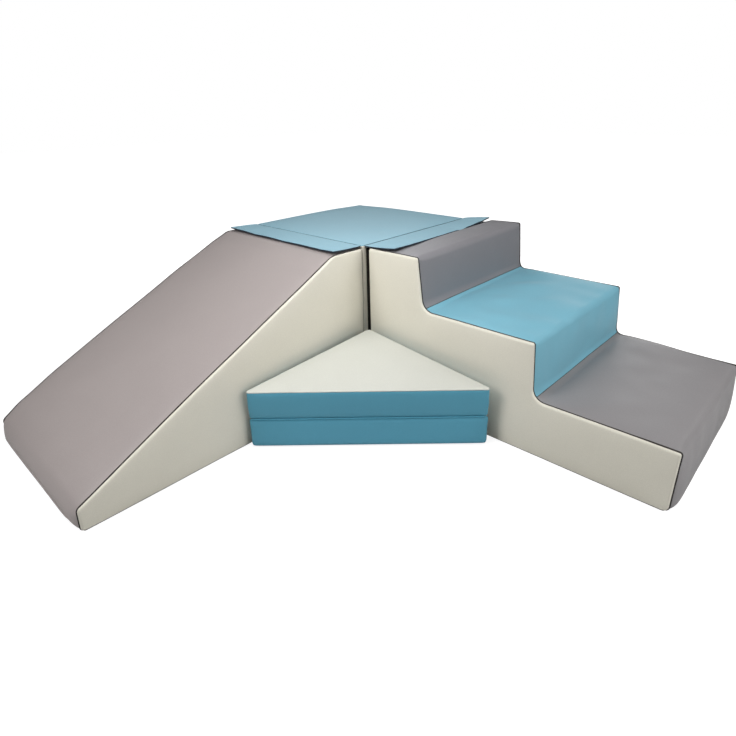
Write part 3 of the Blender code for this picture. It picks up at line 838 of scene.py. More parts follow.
STAIRS_GAP = 0.026
TOP_TREAD = 0.200
MIDDLE_TREAD = 0.350
STAIRS_LENGTH = 0.900
RISER_LEAN = 0.010
STEP_RISE = MODULE_HEIGHT / 3
FIRM_NOSE = 0.0050
SOFT_NOSE = 0.0200
FIRM_INSIDE = 0.034
SOFT_INSIDE = 0.032
FAR_TUCK = 0.0050
STEP_FOOT = 0.014
STEP_CROWN = 0.0060
FRONT_LEAN = (0.010, 0.000)
STAIRS_SETTLED = [[(0, -3, 0), (5.0, -6.5, 0), (2.0, -2.0, -2.5), (-2.0, -5.0, -0.5), (1.5, 3.0, -3.0),
                   (1.5, -3.5, 0.0), (-15.0, -10.0, 3.0), (0.5, 0.5, 0)],
                  [(0, 0, 0), (1.0, 1.5, 0), (-1.0, -0.5, 2.5), (3.5, 4.5, 7.0), (10.0, 6.0, 8.0),
                   (5.5, 5.0, 8.0), (5.0, 6.5, 16.0), (0, 1.5, 5.0)]]
STAIRS_WELT = [(0, 1), (0.17, 1.25), (0.26, 1.25), (0.40, 1.2), (0.46, 0.7), (0.52, 0.65), (0.60, 0.75),
               (0.68, 0.75), (0.74, 0.85), (1, 0.9)]
RISER_WELT_DEPTH = 0.0012
RISER_WELT_END = 0.012
STAIRS_REACH = 0.10
STAIRS_STAND = ((HALF + STAIRS_GAP, 0, 0), (1, 0, 0), (0, 1, 0))
TUCK_IN = 0.010
TUCK_REACH = 0.020
HELD_DOWN = [(0.060, 0.0), (0.125, 0.018)]

GREY_VINYL = vinyl("grey_vinyl", linear((142, 139, 140)))
# A darker copy of the grey vinyl for the top step: painted shade on its tread and riser.
SHADED_GREY_VINYL = vinyl("shaded_grey_vinyl", linear((133, 132, 136)))
STEP_BLUE_VINYL = vinyl("step_blue_vinyl", linear((122, 181, 200)))


def stairs_place(points):
    """Stands the steps in their place, with the top tread held flat under its flap."""
    x, y, z = softened(settled(points, firm_profile, STAIRS_SETTLED, STAIRS_REACH), 2).T
    outer = np.clip(y / WIDTH + 0.5, 0, 1) ** 2
    for corner in (3, 5):
        across, down = firm_profile[corner][0] + TUCK_IN, firm_profile[corner][1] + TUCK_IN
        pulled = FAR_TUCK * outer * np.exp(-((x - across) ** 2 + (z - down) ** 2) / TUCK_REACH ** 2)
        x, z = x - pulled, z - pulled
    held = np.minimum(z, MODULE_HEIGHT + eased(x, HELD_DOWN))
    return placed(np.c_[x, y, held], *STAIRS_STAND)


def stairs_profile(nose, lean, inside):
    """The corners of the steps' side, by its noses' and inside corners' radii and its front's lean."""
    second = TOP_TREAD + MIDDLE_TREAD
    return [
        (0, 0, BACK_EDGE),
        (STAIRS_LENGTH - lean, 0, STEP_FOOT),
        (STAIRS_LENGTH, STEP_RISE, nose),
        (second + RISER_LEAN, STEP_RISE, inside),
        (second, 2 * STEP_RISE, nose),
        (TOP_TREAD + RISER_LEAN, 2 * STEP_RISE, inside),
        (TOP_TREAD, MODULE_HEIGHT, nose),
        (0, MODULE_HEIGHT, BACK_EDGE),
    ]


firm_profile = stairs_profile(FIRM_NOSE, FRONT_LEAN[0], FIRM_INSIDE)
settle_cores("stairs", STAIRS_STAND, firm_profile, STAIRS_SETTLED, STAIRS_REACH)
firm = rounded_path(firm_profile)
path, outward, arcs = firm
outline, soft = (path, outward), matched_path(stairs_profile(SOFT_NOSE, FRONT_LEAN[1], SOFT_INSIDE), firm)
back_foot, front_foot = arcs[0][0] + MID_ARC, arcs[1][0] + FOOT_ARC
lower_seam, upper_seam = arcs[3][0] + MID_ARC, arcs[5][0] + MID_ARC
back_top = arcs[7][0] + MID_ARC
noses = [arcs[corner][0] + MID_ARC for corner in (2, 4, 6)]
STEPS = [("bottom", front_foot, lower_seam, GREY_VINYL, 11, STEP_CROWN, 0.0024, 0.022),
         ("middle", lower_seam, upper_seam, STEP_BLUE_VINYL, 12, STEP_CROWN, 0.0062, 0.022),
         ("top", upper_seam, back_top, SHADED_GREY_VINYL, 13, 0.0045, 0.0026, SWELL_REACH)]
for (step, first, last, finish, seed, crown, broad, reach), nose in zip(STEPS, noses):
    wrap(f"stairs_{step}_step_cover", stairs_place, outline, first, last, finish, seed, crown, soft,
         [nose], broad, rim=under_rim(), reach=reach)
wrap("stairs_back_cover", stairs_place, outline, back_top, back_foot + len(path), CREAM_VINYL, 14, 0.003)
wrap("stairs_base_cover", stairs_place, outline, back_foot, front_foot, BASE_CLOTH, 15, soft=soft,
     **EVEN, step=0.03)
for name, facing in (("inner", -1), ("outer", 1)):
    over = over_shares(len(path), front_foot, back_top)
    side(f"stairs_{name}_side_cover", stairs_place, firm_profile, facing, 17 + facing, over)
    side_welt(f"stairs_{name}_welt", stairs_place, outline, over, facing, "stairs", STAIRS_WELT)
# Dark cords in the riser seams, partly painted shade of the seams.
for name, seam, size in (("lower", lower_seam, 0.0007), ("upper", upper_seam, 0.0011)):
    across, up = path[seam] - outward[seam] * RISER_WELT_DEPTH
    ends = -HALF + RISER_WELT_END, HALF - RISER_WELT_END
    line = stairs_place([(across, y, up) for y in np.linspace(*ends, 80)])
    cord(f"stairs_{name}_riser_welt", line, (0, 0, 1), size, "stairs")


# The folding mat: two triangular pads, cream faces and blue bands, hinged along the front crease.
# The lower pad's foot is rounded by its own weight. The upper pad rests a little open on the hinge.

MAT_LEG = 0.456
MAT_THICKNESS = 0.087
MAT_TIP = 0.0058
MAT_APEX = 0.010
MAT_FOOT = 0.015
MAT_FROM_RAMP = 0.0375
MAT_FROM_STAIRS = 0.020
MAT_HEADING = math.radians(42.5)
MAT_OPENING = math.radians(7)
FOLD_OUT = 0.0033
FOLD_HEIGHT = 0.08795
FOLD_FACE = 0.00095
# The mat's faces take a darker copy of the cream vinyl: painted shade.
SHADED_CREAM_VINYL = vinyl("mat_shaded_cream_vinyl", linear((205, 206, 198)))
MAT_CROWN = 0.0040
MAT_LIP = 0.0018
MAT_EDGE = (0.0036, 0.0008)
MAT_LEAST_ROUND = 0.003
MAT_FOLD_CROWN = 0.0015
BASE_IN = 0.002
BAND_CROWN = 0.0050
BAND_REACH = 0.016
BULGE_SPREAD = 0.012
BANDS_APART = 0.0002
MAT_TOP = FOLD_FACE + MAT_THICKNESS - 0.003
LEAF_DEPTH = 0.020
LEAF_END_MARGIN = 0.012
LEAF_THICKNESS = 0.0005
LEAF_BEND = 0.0004
MAT_BLUE_VINYL = vinyl("mat_blue_vinyl", linear((85, 159, 184)))

mat_half = MAT_LEG / math.sqrt(2)
mat_along = np.array((math.cos(MAT_HEADING), math.sin(MAT_HEADING), 0))
mat_back = np.array((-math.sin(MAT_HEADING), math.cos(MAT_HEADING), 0))
mat_front = np.array((HALF + MAT_FROM_RAMP, -HALF - MAT_FROM_STAIRS, 0)) - mat_back * mat_half
fold_point = mat_front - mat_back * FOLD_OUT + np.array((0, 0, FOLD_HEIGHT))
opened_back = mat_back * math.cos(MAT_OPENING) + np.array((0, 0, math.sin(MAT_OPENING)))
opened_up = np.array((0, 0, math.cos(MAT_OPENING))) - mat_back * math.sin(MAT_OPENING)


def lower_place(points):
    return placed(points, mat_front, mat_along, mat_back)


def upper_place(points):
    return placed(points, fold_point + opened_back * FOLD_OUT, mat_along, opened_back, opened_up)


def mat_face(name, place, height, facing, seed, crown, over=None):
    """A cream face of a pad, up (+1) or down (-1)."""
    flat, heights, faces = flat_panel(mat_plan, crown, seed, 0.06, rim=edge_rim(*MAT_EDGE), over=over,
                                      over_round=MAT_LIP)
    turned = faces if facing > 0 else flipped(faces)
    sew(name, place(np.c_[flat, height + facing * heights]), turned, SHADED_CREAM_VINYL,
        plan_area(rounded_path(mat_plan)[0]))


def mat_band(name, place, depths, across, low, seed, bulge):
    """The blue band round a pad, pushed out most where its bulge is: (height, how far).

    Its front swells only so far that the two bands meet when the mat lies open.
    """
    def inset(depth):
        return matched_path(inset_corners(mat_plan, depth, MAT_LEAST_ROUND), whole)[0]

    whole = rounded_path(mat_plan)
    path, outward, arcs = whole
    tips = [(first + last) // 2 for first, last in arcs[:2]]
    grid, length = swept_panel(path, outward, depths, across, BAND_CROWN, seed, closed=True, bends=tips,
                               reach=BAND_REACH, inset=inset)
    extra = bulge[1] * np.exp(-((across - bulge[0]) / BULGE_SPREAD) ** 2)
    grid[:, :, :2] += outward[:, None] * extra[None, :, None]
    swell, room = -grid[:, :, 1], FOLD_OUT - BANDS_APART
    grid[:, :, 1] = -np.where(swell > 0, room * np.tanh(swell / room), swell)
    grid[:, :, 2] += low
    sew(name, place(grid.reshape(-1, 3)), grid_faces(*grid.shape[:2], ring=True, flip=True),
        MAT_BLUE_VINYL)


def foot_section(width, foot):
    """A band's section from its seam with the base, round its foot and up to its top edge."""
    seam = foot + BASE_IN
    rim = [(seam - distance, down) for distance, down in flush_rim()]
    turns = np.linspace(0, math.pi / 2, 9)
    curve = [(foot - foot * math.sin(turn), foot - foot * math.cos(turn)) for turn in turns]
    top = edge_rim(*MAT_EDGE)
    wall = [(0.0, height) for height in graded(foot, width - top[-1][0], 0.009)[1:-1]]
    edge = [(down, width - distance) for distance, down in top[::-1]]
    return np.array(rim + curve + wall + edge).T


mat_plan = [(-mat_half, 0, MAT_TIP), (mat_half, 0, MAT_TIP), (0, mat_half, MAT_APEX)]
base_plan = inset_corners(mat_plan, MAT_FOOT + BASE_IN, MAT_LEAST_ROUND)
flat, heights, faces = flat_panel(base_plan, 0.0, 21, **EVEN, step=0.025, rim=flush_rim())
sew("mat_lower_base_cover", lower_place(np.c_[flat, -heights]), flipped(faces), BASE_CLOTH,
    plan_area(rounded_path(base_plan)[0]))
mat_band("mat_lower_band_cover", lower_place, *foot_section(MAT_THICKNESS, MAT_FOOT), 0.0, 22,
         (MAT_THICKNESS - 0.012, 0.0015))
mat_face("mat_lower_fold_cover", lower_place, MAT_THICKNESS, 1, 23, MAT_FOLD_CROWN)
mat_face("mat_upper_fold_cover", upper_place, FOLD_FACE, -1, 24, MAT_FOLD_CROWN)
upper_section = section(MAT_TOP - FOLD_FACE, edge_rim(*MAT_EDGE), under_rim(MAT_LIP, 0.0005, 0.0002),
                        0.009)
mat_band("mat_upper_band_cover", upper_place, *upper_section, FOLD_FACE, 25, (0.035, 0.0010))
mat_face("mat_upper_top_cover", upper_place, MAT_TOP, 1, 26, MAT_CROWN,
         np.ones(len(rounded_path(mat_plan)[0])))


def mat_hinge():
    """The strip of cover cloth between the pads, turned over at the crease and sewn to both faces."""
    lower = [(y, FOLD_HEIGHT - LEAF_BEND) for y in np.linspace(LEAF_DEPTH, 0.001 - FOLD_OUT, 12)]
    turns = np.linspace(-math.pi / 2, -math.pi * 1.5 + MAT_OPENING, 12)
    bend = [(LEAF_BEND * math.cos(t) - FOLD_OUT, LEAF_BEND * math.sin(t) + FOLD_HEIGHT) for t in turns]
    reach = np.linspace(0.001, LEAF_DEPTH + FOLD_OUT, 12)
    upper = [(r * math.cos(MAT_OPENING) - LEAF_BEND * math.sin(MAT_OPENING) - FOLD_OUT,
              r * math.sin(MAT_OPENING) + LEAF_BEND * math.cos(MAT_OPENING) + FOLD_HEIGHT) for r in reach]
    profile = lower + bend + upper
    half = mat_half - LEAF_END_MARGIN
    columns = np.linspace(-half, half, 70)
    points = lower_place([(x, y, z) for x in columns for y, z in profile])
    strip = new_piece("mat_hinge_cloth", points, grid_faces(len(columns), len(profile)), MAT_BLUE_VINYL)
    thicken(strip, LEAF_THICKNESS * 0.6, 0.0)
    middle = lower_place([(0, LEAF_DEPTH / 2, FOLD_HEIGHT)])[0]
    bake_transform(strip)
    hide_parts("mat_lower_hinge_leaf", "mat_upper_hinge_leaf")


mat_hinge()


# The tie flaps: light blue cloth on a dark navy backing, hemmed and sewn into the block's top edge. The
# backing, the dark binding under the free edges and the dark cord in the fold are partly painted shadow
# of the lifted edges and of the crease. Each lies over its module and holds it by tape. The steps' flap
# has come up a little at its far end.

FLAP_WIDTHS = {"ramp": (0.1135, 0.117), "stairs": (0.125, 0.111)}
FLAP_HALF = HALF - 0.005
FLAP_CORNER = 0.004
FLAP_CLOTH = 0.0016
FLAP_RIM = [(0.0, 0.0007), (0.0002, 0.0003), (0.0005, 0.0001), (0.0009, 0.0)]
FLAP_STEP = 0.0055
SEWN_IN = 0.0004
SEWN_CORNER = 0.001
FIRST_STITCH = 0.010
HEM = 0.0075
HEM_RELIEF = 0.0005
GROOVE_HALF = 0.0014
FOLD_REACH = 0.0035
FOLD_DRAWN = 0.0016
BINDING_AND_SHADOW = 0.0017
BINDING_IN = 0.0006
BINDING_UNDER = 0.0004
FOLD_WELT_UNDER = 0.0009
STITCH_PITCH = 0.0042
STITCH_LENGTH = 0.0032
THREAD = 0.0007
THREAD_RISE = 0.00025
TAPE_FROM_FOLD = 0.045
TAPE_WIDTH = 0.050
TAPE_HALF = FLAP_HALF - 0.020
TAPE_CLOTH = 0.0008
HOOK_TAPE_TOP = 0.4619
LOOP_TAPE_TOP = 0.4611

BACKING_AND_EDGE_SHADOW = woven("flap_backing_and_edge_shadow", linear((34, 44, 58)), 1800)
TAPE_CLOTH_FINISH = woven("tape_cloth", linear((38, 48, 62)), 900)

RAMP_FLAP_RISE = [(-0.270, 0.0075), (-0.20, 0.0065), (-0.12, 0.0035), (-0.05, 0.0045), (0.04, 0.0025),
                  (0.12, 0.0035), (0.20, 0.0030), (0.270, 0.0050)]
STAIRS_FLAP_RISE = [(-0.270, 0.0095), (-0.18, 0.0075), (-0.08, 0.0065), (0.00, 0.0065), (0.05, 0.0060),
                    (0.085, 0.0030), (0.13, 0.0070), (0.20, 0.0110), (0.270, 0.0165)]


def flap_width(owner, along):
    low, high = FLAP_WIDTHS[owner]
    return low + (high - low) * (along / (2 * FLAP_HALF) + 0.5)


def flap_lift(owner, out, along):
    """How far a flap stands off, out from its fold and along it; its far end springs up soonest."""
    rise = eased(along, RAMP_FLAP_RISE if owner == "ramp" else STAIRS_FLAP_RISE)
    far = np.clip((along if owner == "stairs" else -along) / (2 * FLAP_HALF) + 0.5, 0, 1)
    share = np.clip(out / flap_width(owner, along), 0, 1)
    return rise * share ** (1.6 - 0.9 * far ** 2)


def ramp_flap_place(points):
    """Flap points (out from the fold, along it, height) at the ramp."""
    out, along, height = np.asarray(points, float).T
    return np.c_[along, -HALF - out, height]


def stairs_flap_place(points):
    out, along, height = np.asarray(points, float).T
    return np.c_[HALF + out, along, height]


def cloth_piece(name, points, faces, finishes, thickness):
    """A sheet closed to its thickness; a second finish goes on its underside and rim."""
    made = new_piece(name, points, faces, *finishes)
    shell = thicken(made, thickness)
    shell.material_offset = shell.material_offset_rim = len(finishes) - 1
    return made


def stitches(name, line, height, place, body):
    """A row of thread stitches along a line of (out, along) points, a little sunk in the cloth."""
    steps = np.linalg.norm(np.diff(line, axis=0), axis=1)
    distance = np.concatenate([[0], np.cumsum(steps)])
    starts = np.arange(STITCH_PITCH / 2, distance[-1] - STITCH_LENGTH, STITCH_PITCH)
    points, faces = [], []
    turns = np.linspace(0, 2 * math.pi, 7)[:-1]
    for start in starts:
        ends = [np.array([np.interp(start + shift, distance, line[:, axis]) for axis in (0, 1)])
                for shift in (0, STITCH_LENGTH)]
        way = (ends[1] - ends[0]) / np.linalg.norm(ends[1] - ends[0])
        across = np.array([-way[1], way[0]])
        first = len(points)
        for share, size, sink in ((0, 0.35, 0.9), (0.25, 1, 0.25), (0.75, 1, 0.25), (1, 0.35, 0.9)):
            centre = ends[0] + (ends[1] - ends[0]) * share
            level = height(centre[0], centre[1]) - sink * THREAD / 2
            for turn in turns:
                spot = centre + across * math.cos(turn) * THREAD / 2 * size
                points.append((*spot, level + math.sin(turn) * THREAD / 2 * size))
        for ring in range(3):
            for n in range(6):
                a, b = first + ring * 6 + n, first + ring * 6 + (n + 1) % 6
                faces.append((a, b, b + 6, a + 6))
        faces.append(tuple(first + n for n in range(5, -1, -1)))
        faces.append(tuple(first + 18 + n for n in range(6)))
    made = new_piece(name, place(points), faces, LIGHT_BLUE_VINYL)
    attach(made, body)
    return made


def tie_flap(owner, place, seed, fold_welt_and_crease_shade):
    """A flap with its hem and stitching, its hook tape, and the loop tape on the module under it."""
    def lift(out, along):
        return flap_lift(owner, out, along)

    low, high = FLAP_WIDTHS[owner]
    corners = [(SEWN_IN, -FLAP_HALF, SEWN_CORNER), (low, -FLAP_HALF, FLAP_CORNER),
               (high, FLAP_HALF, FLAP_CORNER), (SEWN_IN, FLAP_HALF, SEWN_CORNER)]
    flat, _, faces = flat_panel(corners, 0.0, seed, **EVEN, step=FLAP_STEP, rim=FLAP_RIM)
    sides = segment_distances(flat, corners)
    free_edge = sides[:, :3].min(axis=1)
    groove = HEM_RELIEF * np.exp(-((free_edge - HEM) / GROOVE_HALF) ** 2)
    hem = HEM_RELIEF * (1 - pull(free_edge - HEM, 0.003)) * (free_edge < HEM + 0.02)
    fold = np.clip(1 - flat[:, 0] / FOLD_REACH, 0, 1)
    drawn = FOLD_DRAWN * (1 - np.sqrt(np.clip(1 - fold ** 2, 0, 1)))
    waves = unevenness(np.c_[flat, np.zeros(len(flat))], free_edge, seed, 0.0006, 0.0004)
    top = BLOCK_TOP + lift(*flat.T) + waves * np.clip(flat[:, 0] / 0.02, 0, 1) - groove + hem - drawn
    flap = cloth_piece(f"{owner}_flap_cloth", place(np.c_[flat, top]), faces,
                       [LIGHT_BLUE_VINYL, BACKING_AND_EDGE_SHADOW], FLAP_CLOTH)
    body = f"{owner}_flap"
    near, far = HEM + FLAP_CORNER, FLAP_HALF - HEM
    inset = np.array([(FIRST_STITCH, -far), (low - near, -far), (low - HEM, -far + FLAP_CORNER),
                      (high - HEM, far - FLAP_CORNER), (high - near, far), (FIRST_STITCH, far)])

    def surface(out, along):
        return BLOCK_TOP + THREAD_RISE + lift(out, along)

    thread = stitches(f"{owner}_flap_stitching", inset, surface, place, body)
    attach(flap, body)
    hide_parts(body)
    outline, outward, arcs = rounded_path(corners, 0.004)
    free = slice(arcs[0][1] + 1, arcs[3][0])
    hem_line = outline[free] - outward[free] * BINDING_IN
    under_edge = BLOCK_TOP + lift(*hem_line.T) - FLAP_CLOTH - BINDING_UNDER
    # The binding's dark cord is partly painted shadow under the lifted free edge.
    cord(f"{owner}_flap_binding_and_shadow", place(np.c_[hem_line, under_edge]), (0, 0, 1), BINDING_AND_SHADOW, body, BACKING_AND_EDGE_SHADOW)
    # A dark cord in the fold, partly painted shade of the crease.
    fold_line = [(0.0, along, BLOCK_TOP - FOLD_WELT_UNDER)
                 for along in np.linspace(-FLAP_HALF + 0.004, FLAP_HALF - 0.004, 60)]
    cord(f"{owner}_fold_welt_and_crease_shade", place(fold_line), (0, 0, 1), fold_welt_and_crease_shade, "block", BACKING_AND_EDGE_SHADOW)

    columns = np.linspace(-TAPE_HALF, TAPE_HALF, 80)
    rows = graded(TAPE_FROM_FOLD, TAPE_FROM_FOLD + TAPE_WIDTH, 0.006)
    spots = np.array([(out, along) for along in columns for out in rows])
    tape_faces = grid_faces(len(columns), len(rows))
    edge = np.minimum(spots[:, 0] - TAPE_FROM_FOLD, TAPE_FROM_FOLD + TAPE_WIDTH - spots[:, 0])
    valley_shaded = 0.0002 * np.exp(-edge / 0.002)
    for kind, level, follows, rider in (("flap_hook_tape", HOOK_TAPE_TOP, 1.0, body),
                                        ("loop_tape", LOOP_TAPE_TOP, 0.0, owner)):
        heights = level + follows * lift(*spots.T) - valley_shaded
        tape = cloth_piece(f"{owner}_{kind}_strip", place(np.c_[spots, heights]), tape_faces,
                           [TAPE_CLOTH_FINISH], TAPE_CLOTH * 0.75)
        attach(tape, rider)
        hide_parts(f"{owner}_{kind}")


tie_flap("ramp", ramp_flap_place, 31, 0.0010)
tie_flap("stairs", stairs_flap_place, 32, 0.0016)


# The zips: woven tape with two rows of nylon coil, sewn on a hidden side of each cover so that the
# foam can be taken out, with a cast slider that runs along the coil and carries a hanging pull.

ZIP_WIDTH = 0.024
ZIP_TAPE = 0.0008
ZIP_HEIGHT = 0.050
TOOTH_PITCH = 0.0022
TOOTH = (0.0013, 0.0011, 0.0034)
COIL_REACH = 0.0012
ZIP_OFF = 0.0003
ZIP_GAP = 0.0008
RIB = (0.0005, 0.0010)
RIB_IN = 0.0016
COIL_SINK = 0.0001
SLIDER_START = 0.006
SLIDER_OFF = 0.0012
BRIDGE_WIDTH = 0.0026
BAR_EDGE = 0.0003
PULL_BAR = 0.0012
SLIDER_LENGTH = 0.014
SLIDER_WIDTH = 0.009
SLIDER_NOSE = 0.005
SLIDER_THICKNESS = 0.0024
PULL_LENGTH = 0.024
PULL_WIDTH = 0.0065

ZIP_CLOTH = woven("zip_cloth", linear((176, 172, 162)), 2200)


def coil_finish():
    """Nylon coil: smooth, slightly clear plastic, a little darker than the tape."""
    made, place, shader = new_finish("zip_coil")
    tone = place.spread(90.0).blend(linear((150, 147, 138)), linear((172, 169, 160)))
    shader.inputs["Roughness"].default_value = 0.32
    place.plug(shader, {"Base Color": tone})
    return made


def cast_metal():
    """Cast zinc with a dull plating, rubbed brighter here and there."""
    made, place, shader = new_finish("slider_metal")
    rubbed = place.spread(260.0, 4.0, 0.6)
    tone = rubbed.ramp(0.3, 0.7).blend(linear((104, 105, 108)), linear((142, 143, 146)))
    shader.inputs["Metallic"].default_value = 0.9
    place.plug(shader, {"Base Color": tone, "Roughness": rubbed * 0.25 + 0.25,
                        "Normal": bumped(place, rubbed, 0.2, 0.0002)})
    return made


ZIP_COIL = coil_finish()
SLIDER_METAL = cast_metal()


def bevelled_box(body, size, centre, edge):
    """Adds a box with rounded edges to a bmesh."""
    matrix = Matrix.Translation(centre) @ Matrix.Diagonal((*size, 1))
    made = bmesh.ops.create_cube(body, size=1, matrix=matrix)
    edges = {e for v in made["verts"] for e in v.link_edges}
    bmesh.ops.bevel(body, geom=list(edges), offset=edge, segments=2, profile=0.6, affect="EDGES")


def from_bmesh(name, body, place, finish, rider):
    """A finished piece from a bmesh, put in its place."""
    mesh = bpy.data.meshes.new(name)
    body.to_mesh(mesh)
    body.free()
    points = np.zeros(len(mesh.vertices) * 3)
    mesh.vertices.foreach_get("co", points)
    mesh.vertices.foreach_set("co", place(points.reshape(-1, 3)).ravel())
    mesh.shade_smooth()
    mesh.set_sharp_from_angle(angle=math.radians(50))
    mesh.materials.append(finish)
    made = shown(name, mesh)
    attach(made, rider)
    return made


def zip_fastener(owner, body, rider, origin, along, out, up, length):
    """A zip whose own x runs along it, y out from the cover and z up the cover's side."""
    def place(points):
        return placed(points, origin, along, out, up)

    tape = bmesh.new()
    side_width = ZIP_WIDTH / 2 - ZIP_GAP
    for facing in (-1, 1):
        centre = (length / 2, ZIP_OFF + ZIP_TAPE / 2, facing * (side_width / 2 + ZIP_GAP))
        bevelled_box(tape, (length, ZIP_TAPE, side_width), centre, 0.00025)
        rib = (length / 2, ZIP_OFF + ZIP_TAPE, facing * (ZIP_WIDTH / 2 - RIB_IN))
        bevelled_box(tape, (length, *RIB), rib, 0.0002)
    tape_piece = from_bmesh(f"{owner}_zip_band", tape, place, ZIP_CLOTH, body)
    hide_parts(f"{owner}_zip_tape")

    pattern = bmesh.new()
    bevelled_box(pattern, TOOTH, (0, 0, 0), 0.0004)
    pattern.verts.index_update()
    shape = np.array([v.co for v in pattern.verts])
    shape_faces = [[v.index for v in face.verts] for face in pattern.faces]
    pattern.free()
    points, faces = [], []
    count = int(length / TOOTH_PITCH) * 2 - 2
    for number in range(count):
        facing = 1 if number % 2 else -1
        spot = np.array([(number + 1.5) * TOOTH_PITCH / 2, ZIP_OFF + ZIP_TAPE + TOOTH[1] / 2 - COIL_SINK,
                         facing * COIL_REACH])
        faces += [tuple(v + len(points) for v in face) for face in shape_faces]
        points += list(shape + spot)
    coil = new_piece(f"{owner}_zip_coil", place(points), faces, ZIP_COIL)
    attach(coil, body)

    slider = bmesh.new()
    low = ZIP_OFF + ZIP_TAPE + SLIDER_OFF + ZIP_OFF
    top = low + SLIDER_THICKNESS
    centre, hang = SLIDER_START + SLIDER_LENGTH / 2, top + 0.0004
    bevelled_box(slider, (SLIDER_LENGTH, SLIDER_THICKNESS, SLIDER_WIDTH),
                 (centre, low + SLIDER_THICKNESS / 2, 0), 0.0007)
    for vertex in slider.verts:
        share = 1 - (vertex.co.x - SLIDER_START) / SLIDER_LENGTH
        vertex.co.z *= 1 - share * (1 - SLIDER_NOSE / SLIDER_WIDTH)
    bevelled_box(slider, (SLIDER_LENGTH * 0.6, 0.0009, BRIDGE_WIDTH), (centre, top + 0.0009, 0), BAR_EDGE)
    for shift in (-0.25, 0.25):
        post = SLIDER_START + SLIDER_LENGTH * (0.5 + shift)
        bevelled_box(slider, (0.0016, 0.0012, BRIDGE_WIDTH), (post, top + 0.0003, 0), BAR_EDGE)
    for shift in (-1, 1):
        beside = centre + shift * (PULL_WIDTH / 2 - PULL_BAR / 2)
        bevelled_box(slider, (PULL_BAR, 0.0010, PULL_LENGTH * 0.4),
                     (beside, hang, -PULL_LENGTH * 0.2 + PULL_BAR), BAR_EDGE)
    bevelled_box(slider, (PULL_WIDTH, 0.0010, PULL_BAR), (centre, hang, PULL_BAR), BAR_EDGE)
    bevelled_box(slider, (PULL_WIDTH, PULL_BAR, PULL_LENGTH * 0.62),
                 (centre, hang, -PULL_LENGTH * 0.69), 0.0004)
    piece = from_bmesh(f"{owner}_zip_runner", slider, place, SLIDER_METAL, rider)
    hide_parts(f"{owner}_zip_slider")


CROWN = 0.003
BLOCK_ZIP = WIDTH - 0.120
RAMP_ZIP_END = 0.600
RAMP_ZIP = 0.520
STAIRS_ZIP_START = 0.130
STAIRS_ZIP = 0.640
MAT_ZIP_FROM_TIP = 0.055
MAT_ZIP_LENGTH = 0.240

up = (0, 0, 1)
zip_fastener("block", "block", "block_slider", (-BLOCK_ZIP / 2, HALF + CROWN, ZIP_HEIGHT),
             (1, 0, 0), (0, 1, 0), up, BLOCK_ZIP)
zip_fastener("ramp", "ramp", "ramp_slider",
             (-HALF - CROWN, -HALF - RAMP_GAP - RAMP_ZIP_END, ZIP_HEIGHT),
             (0, 1, 0), (-1, 0, 0), up, RAMP_ZIP)
zip_fastener("stairs", "stairs", "stairs_slider",
             (HALF + STAIRS_GAP + STAIRS_ZIP_START, HALF + CROWN, ZIP_HEIGHT),
             (1, 0, 0), (0, 1, 0), up, STAIRS_ZIP)
diagonal = math.sqrt(0.5)
for owner, place, height in (("mat_lower", lower_place, MAT_THICKNESS / 2),
                             ("mat_upper", upper_place, FOLD_FACE + MAT_THICKNESS / 2)):
    far = (mat_half - (MAT_ZIP_FROM_TIP + MAT_ZIP_LENGTH - CROWN) * diagonal,
           (MAT_ZIP_FROM_TIP + MAT_ZIP_LENGTH + CROWN) * diagonal, height)
    origin, along_end, out_end, up_end = place([far, (far[0] + diagonal, far[1] - diagonal, height),
                                                (far[0] + diagonal, far[1] + diagonal, height),
                                                (far[0], far[1], height + 1)])
    zip_fastener(owner, owner, f"{owner}_slider", tuple(origin), along_end - origin,
                 out_end - origin, up_end - origin, MAT_ZIP_LENGTH)


# The studio: a white floor and softboxes, and the camera where the photographer stood.

EYE = Vector((1.41625, -1.44172, 0.86922))
HEADING = math.radians(43.678)
PITCH = math.radians(-17.555)
ROLL = math.radians(-1.396)
FOCAL_PIXELS = 548.22
CENTRE_PIXEL = (369.80, 280.44)
PICTURE = 736
SENSOR = 36.0
FLOOR_HALF = 14.0
FLOOR_DROP = 0.0006
FLOOR_GLOW = (1.66, 2.3)
GLOW_CENTRE = (0.5, -0.5, 0.0)
GLOW_FADE = (1.1, 2.4)
GLOW_SHARE = 0.50
BOUNCE = (0.54, 0.54, 0.54, 1)
AMBIENT = 0.015
WHITE = (1, 1, 1, 1)


def make_camera():
    forward = Vector((-math.sin(HEADING) * math.cos(PITCH), math.cos(HEADING) * math.cos(PITCH),
                      math.sin(PITCH)))
    right = Vector((math.cos(HEADING), math.sin(HEADING), 0))
    up = right.cross(forward)
    tilted_right = right * math.cos(ROLL) + up * math.sin(ROLL)
    tilted_up = up * math.cos(ROLL) - right * math.sin(ROLL)
    data = bpy.data.cameras.new("camera")
    data.sensor_width = SENSOR
    data.lens = FOCAL_PIXELS / PICTURE * SENSOR
    data.shift_x = (PICTURE / 2 - CENTRE_PIXEL[0]) / PICTURE
    data.shift_y = (CENTRE_PIXEL[1] - PICTURE / 2) / PICTURE
    camera = shown("camera", data)
    camera.matrix_world = Matrix((
        (tilted_right.x, tilted_up.x, -forward.x, EYE.x),
        (tilted_right.y, tilted_up.y, -forward.y, EYE.y),
        (tilted_right.z, tilted_up.z, -forward.z, EYE.z),
        (0, 0, 0, 1),
    ))
    bpy.context.scene.camera = camera


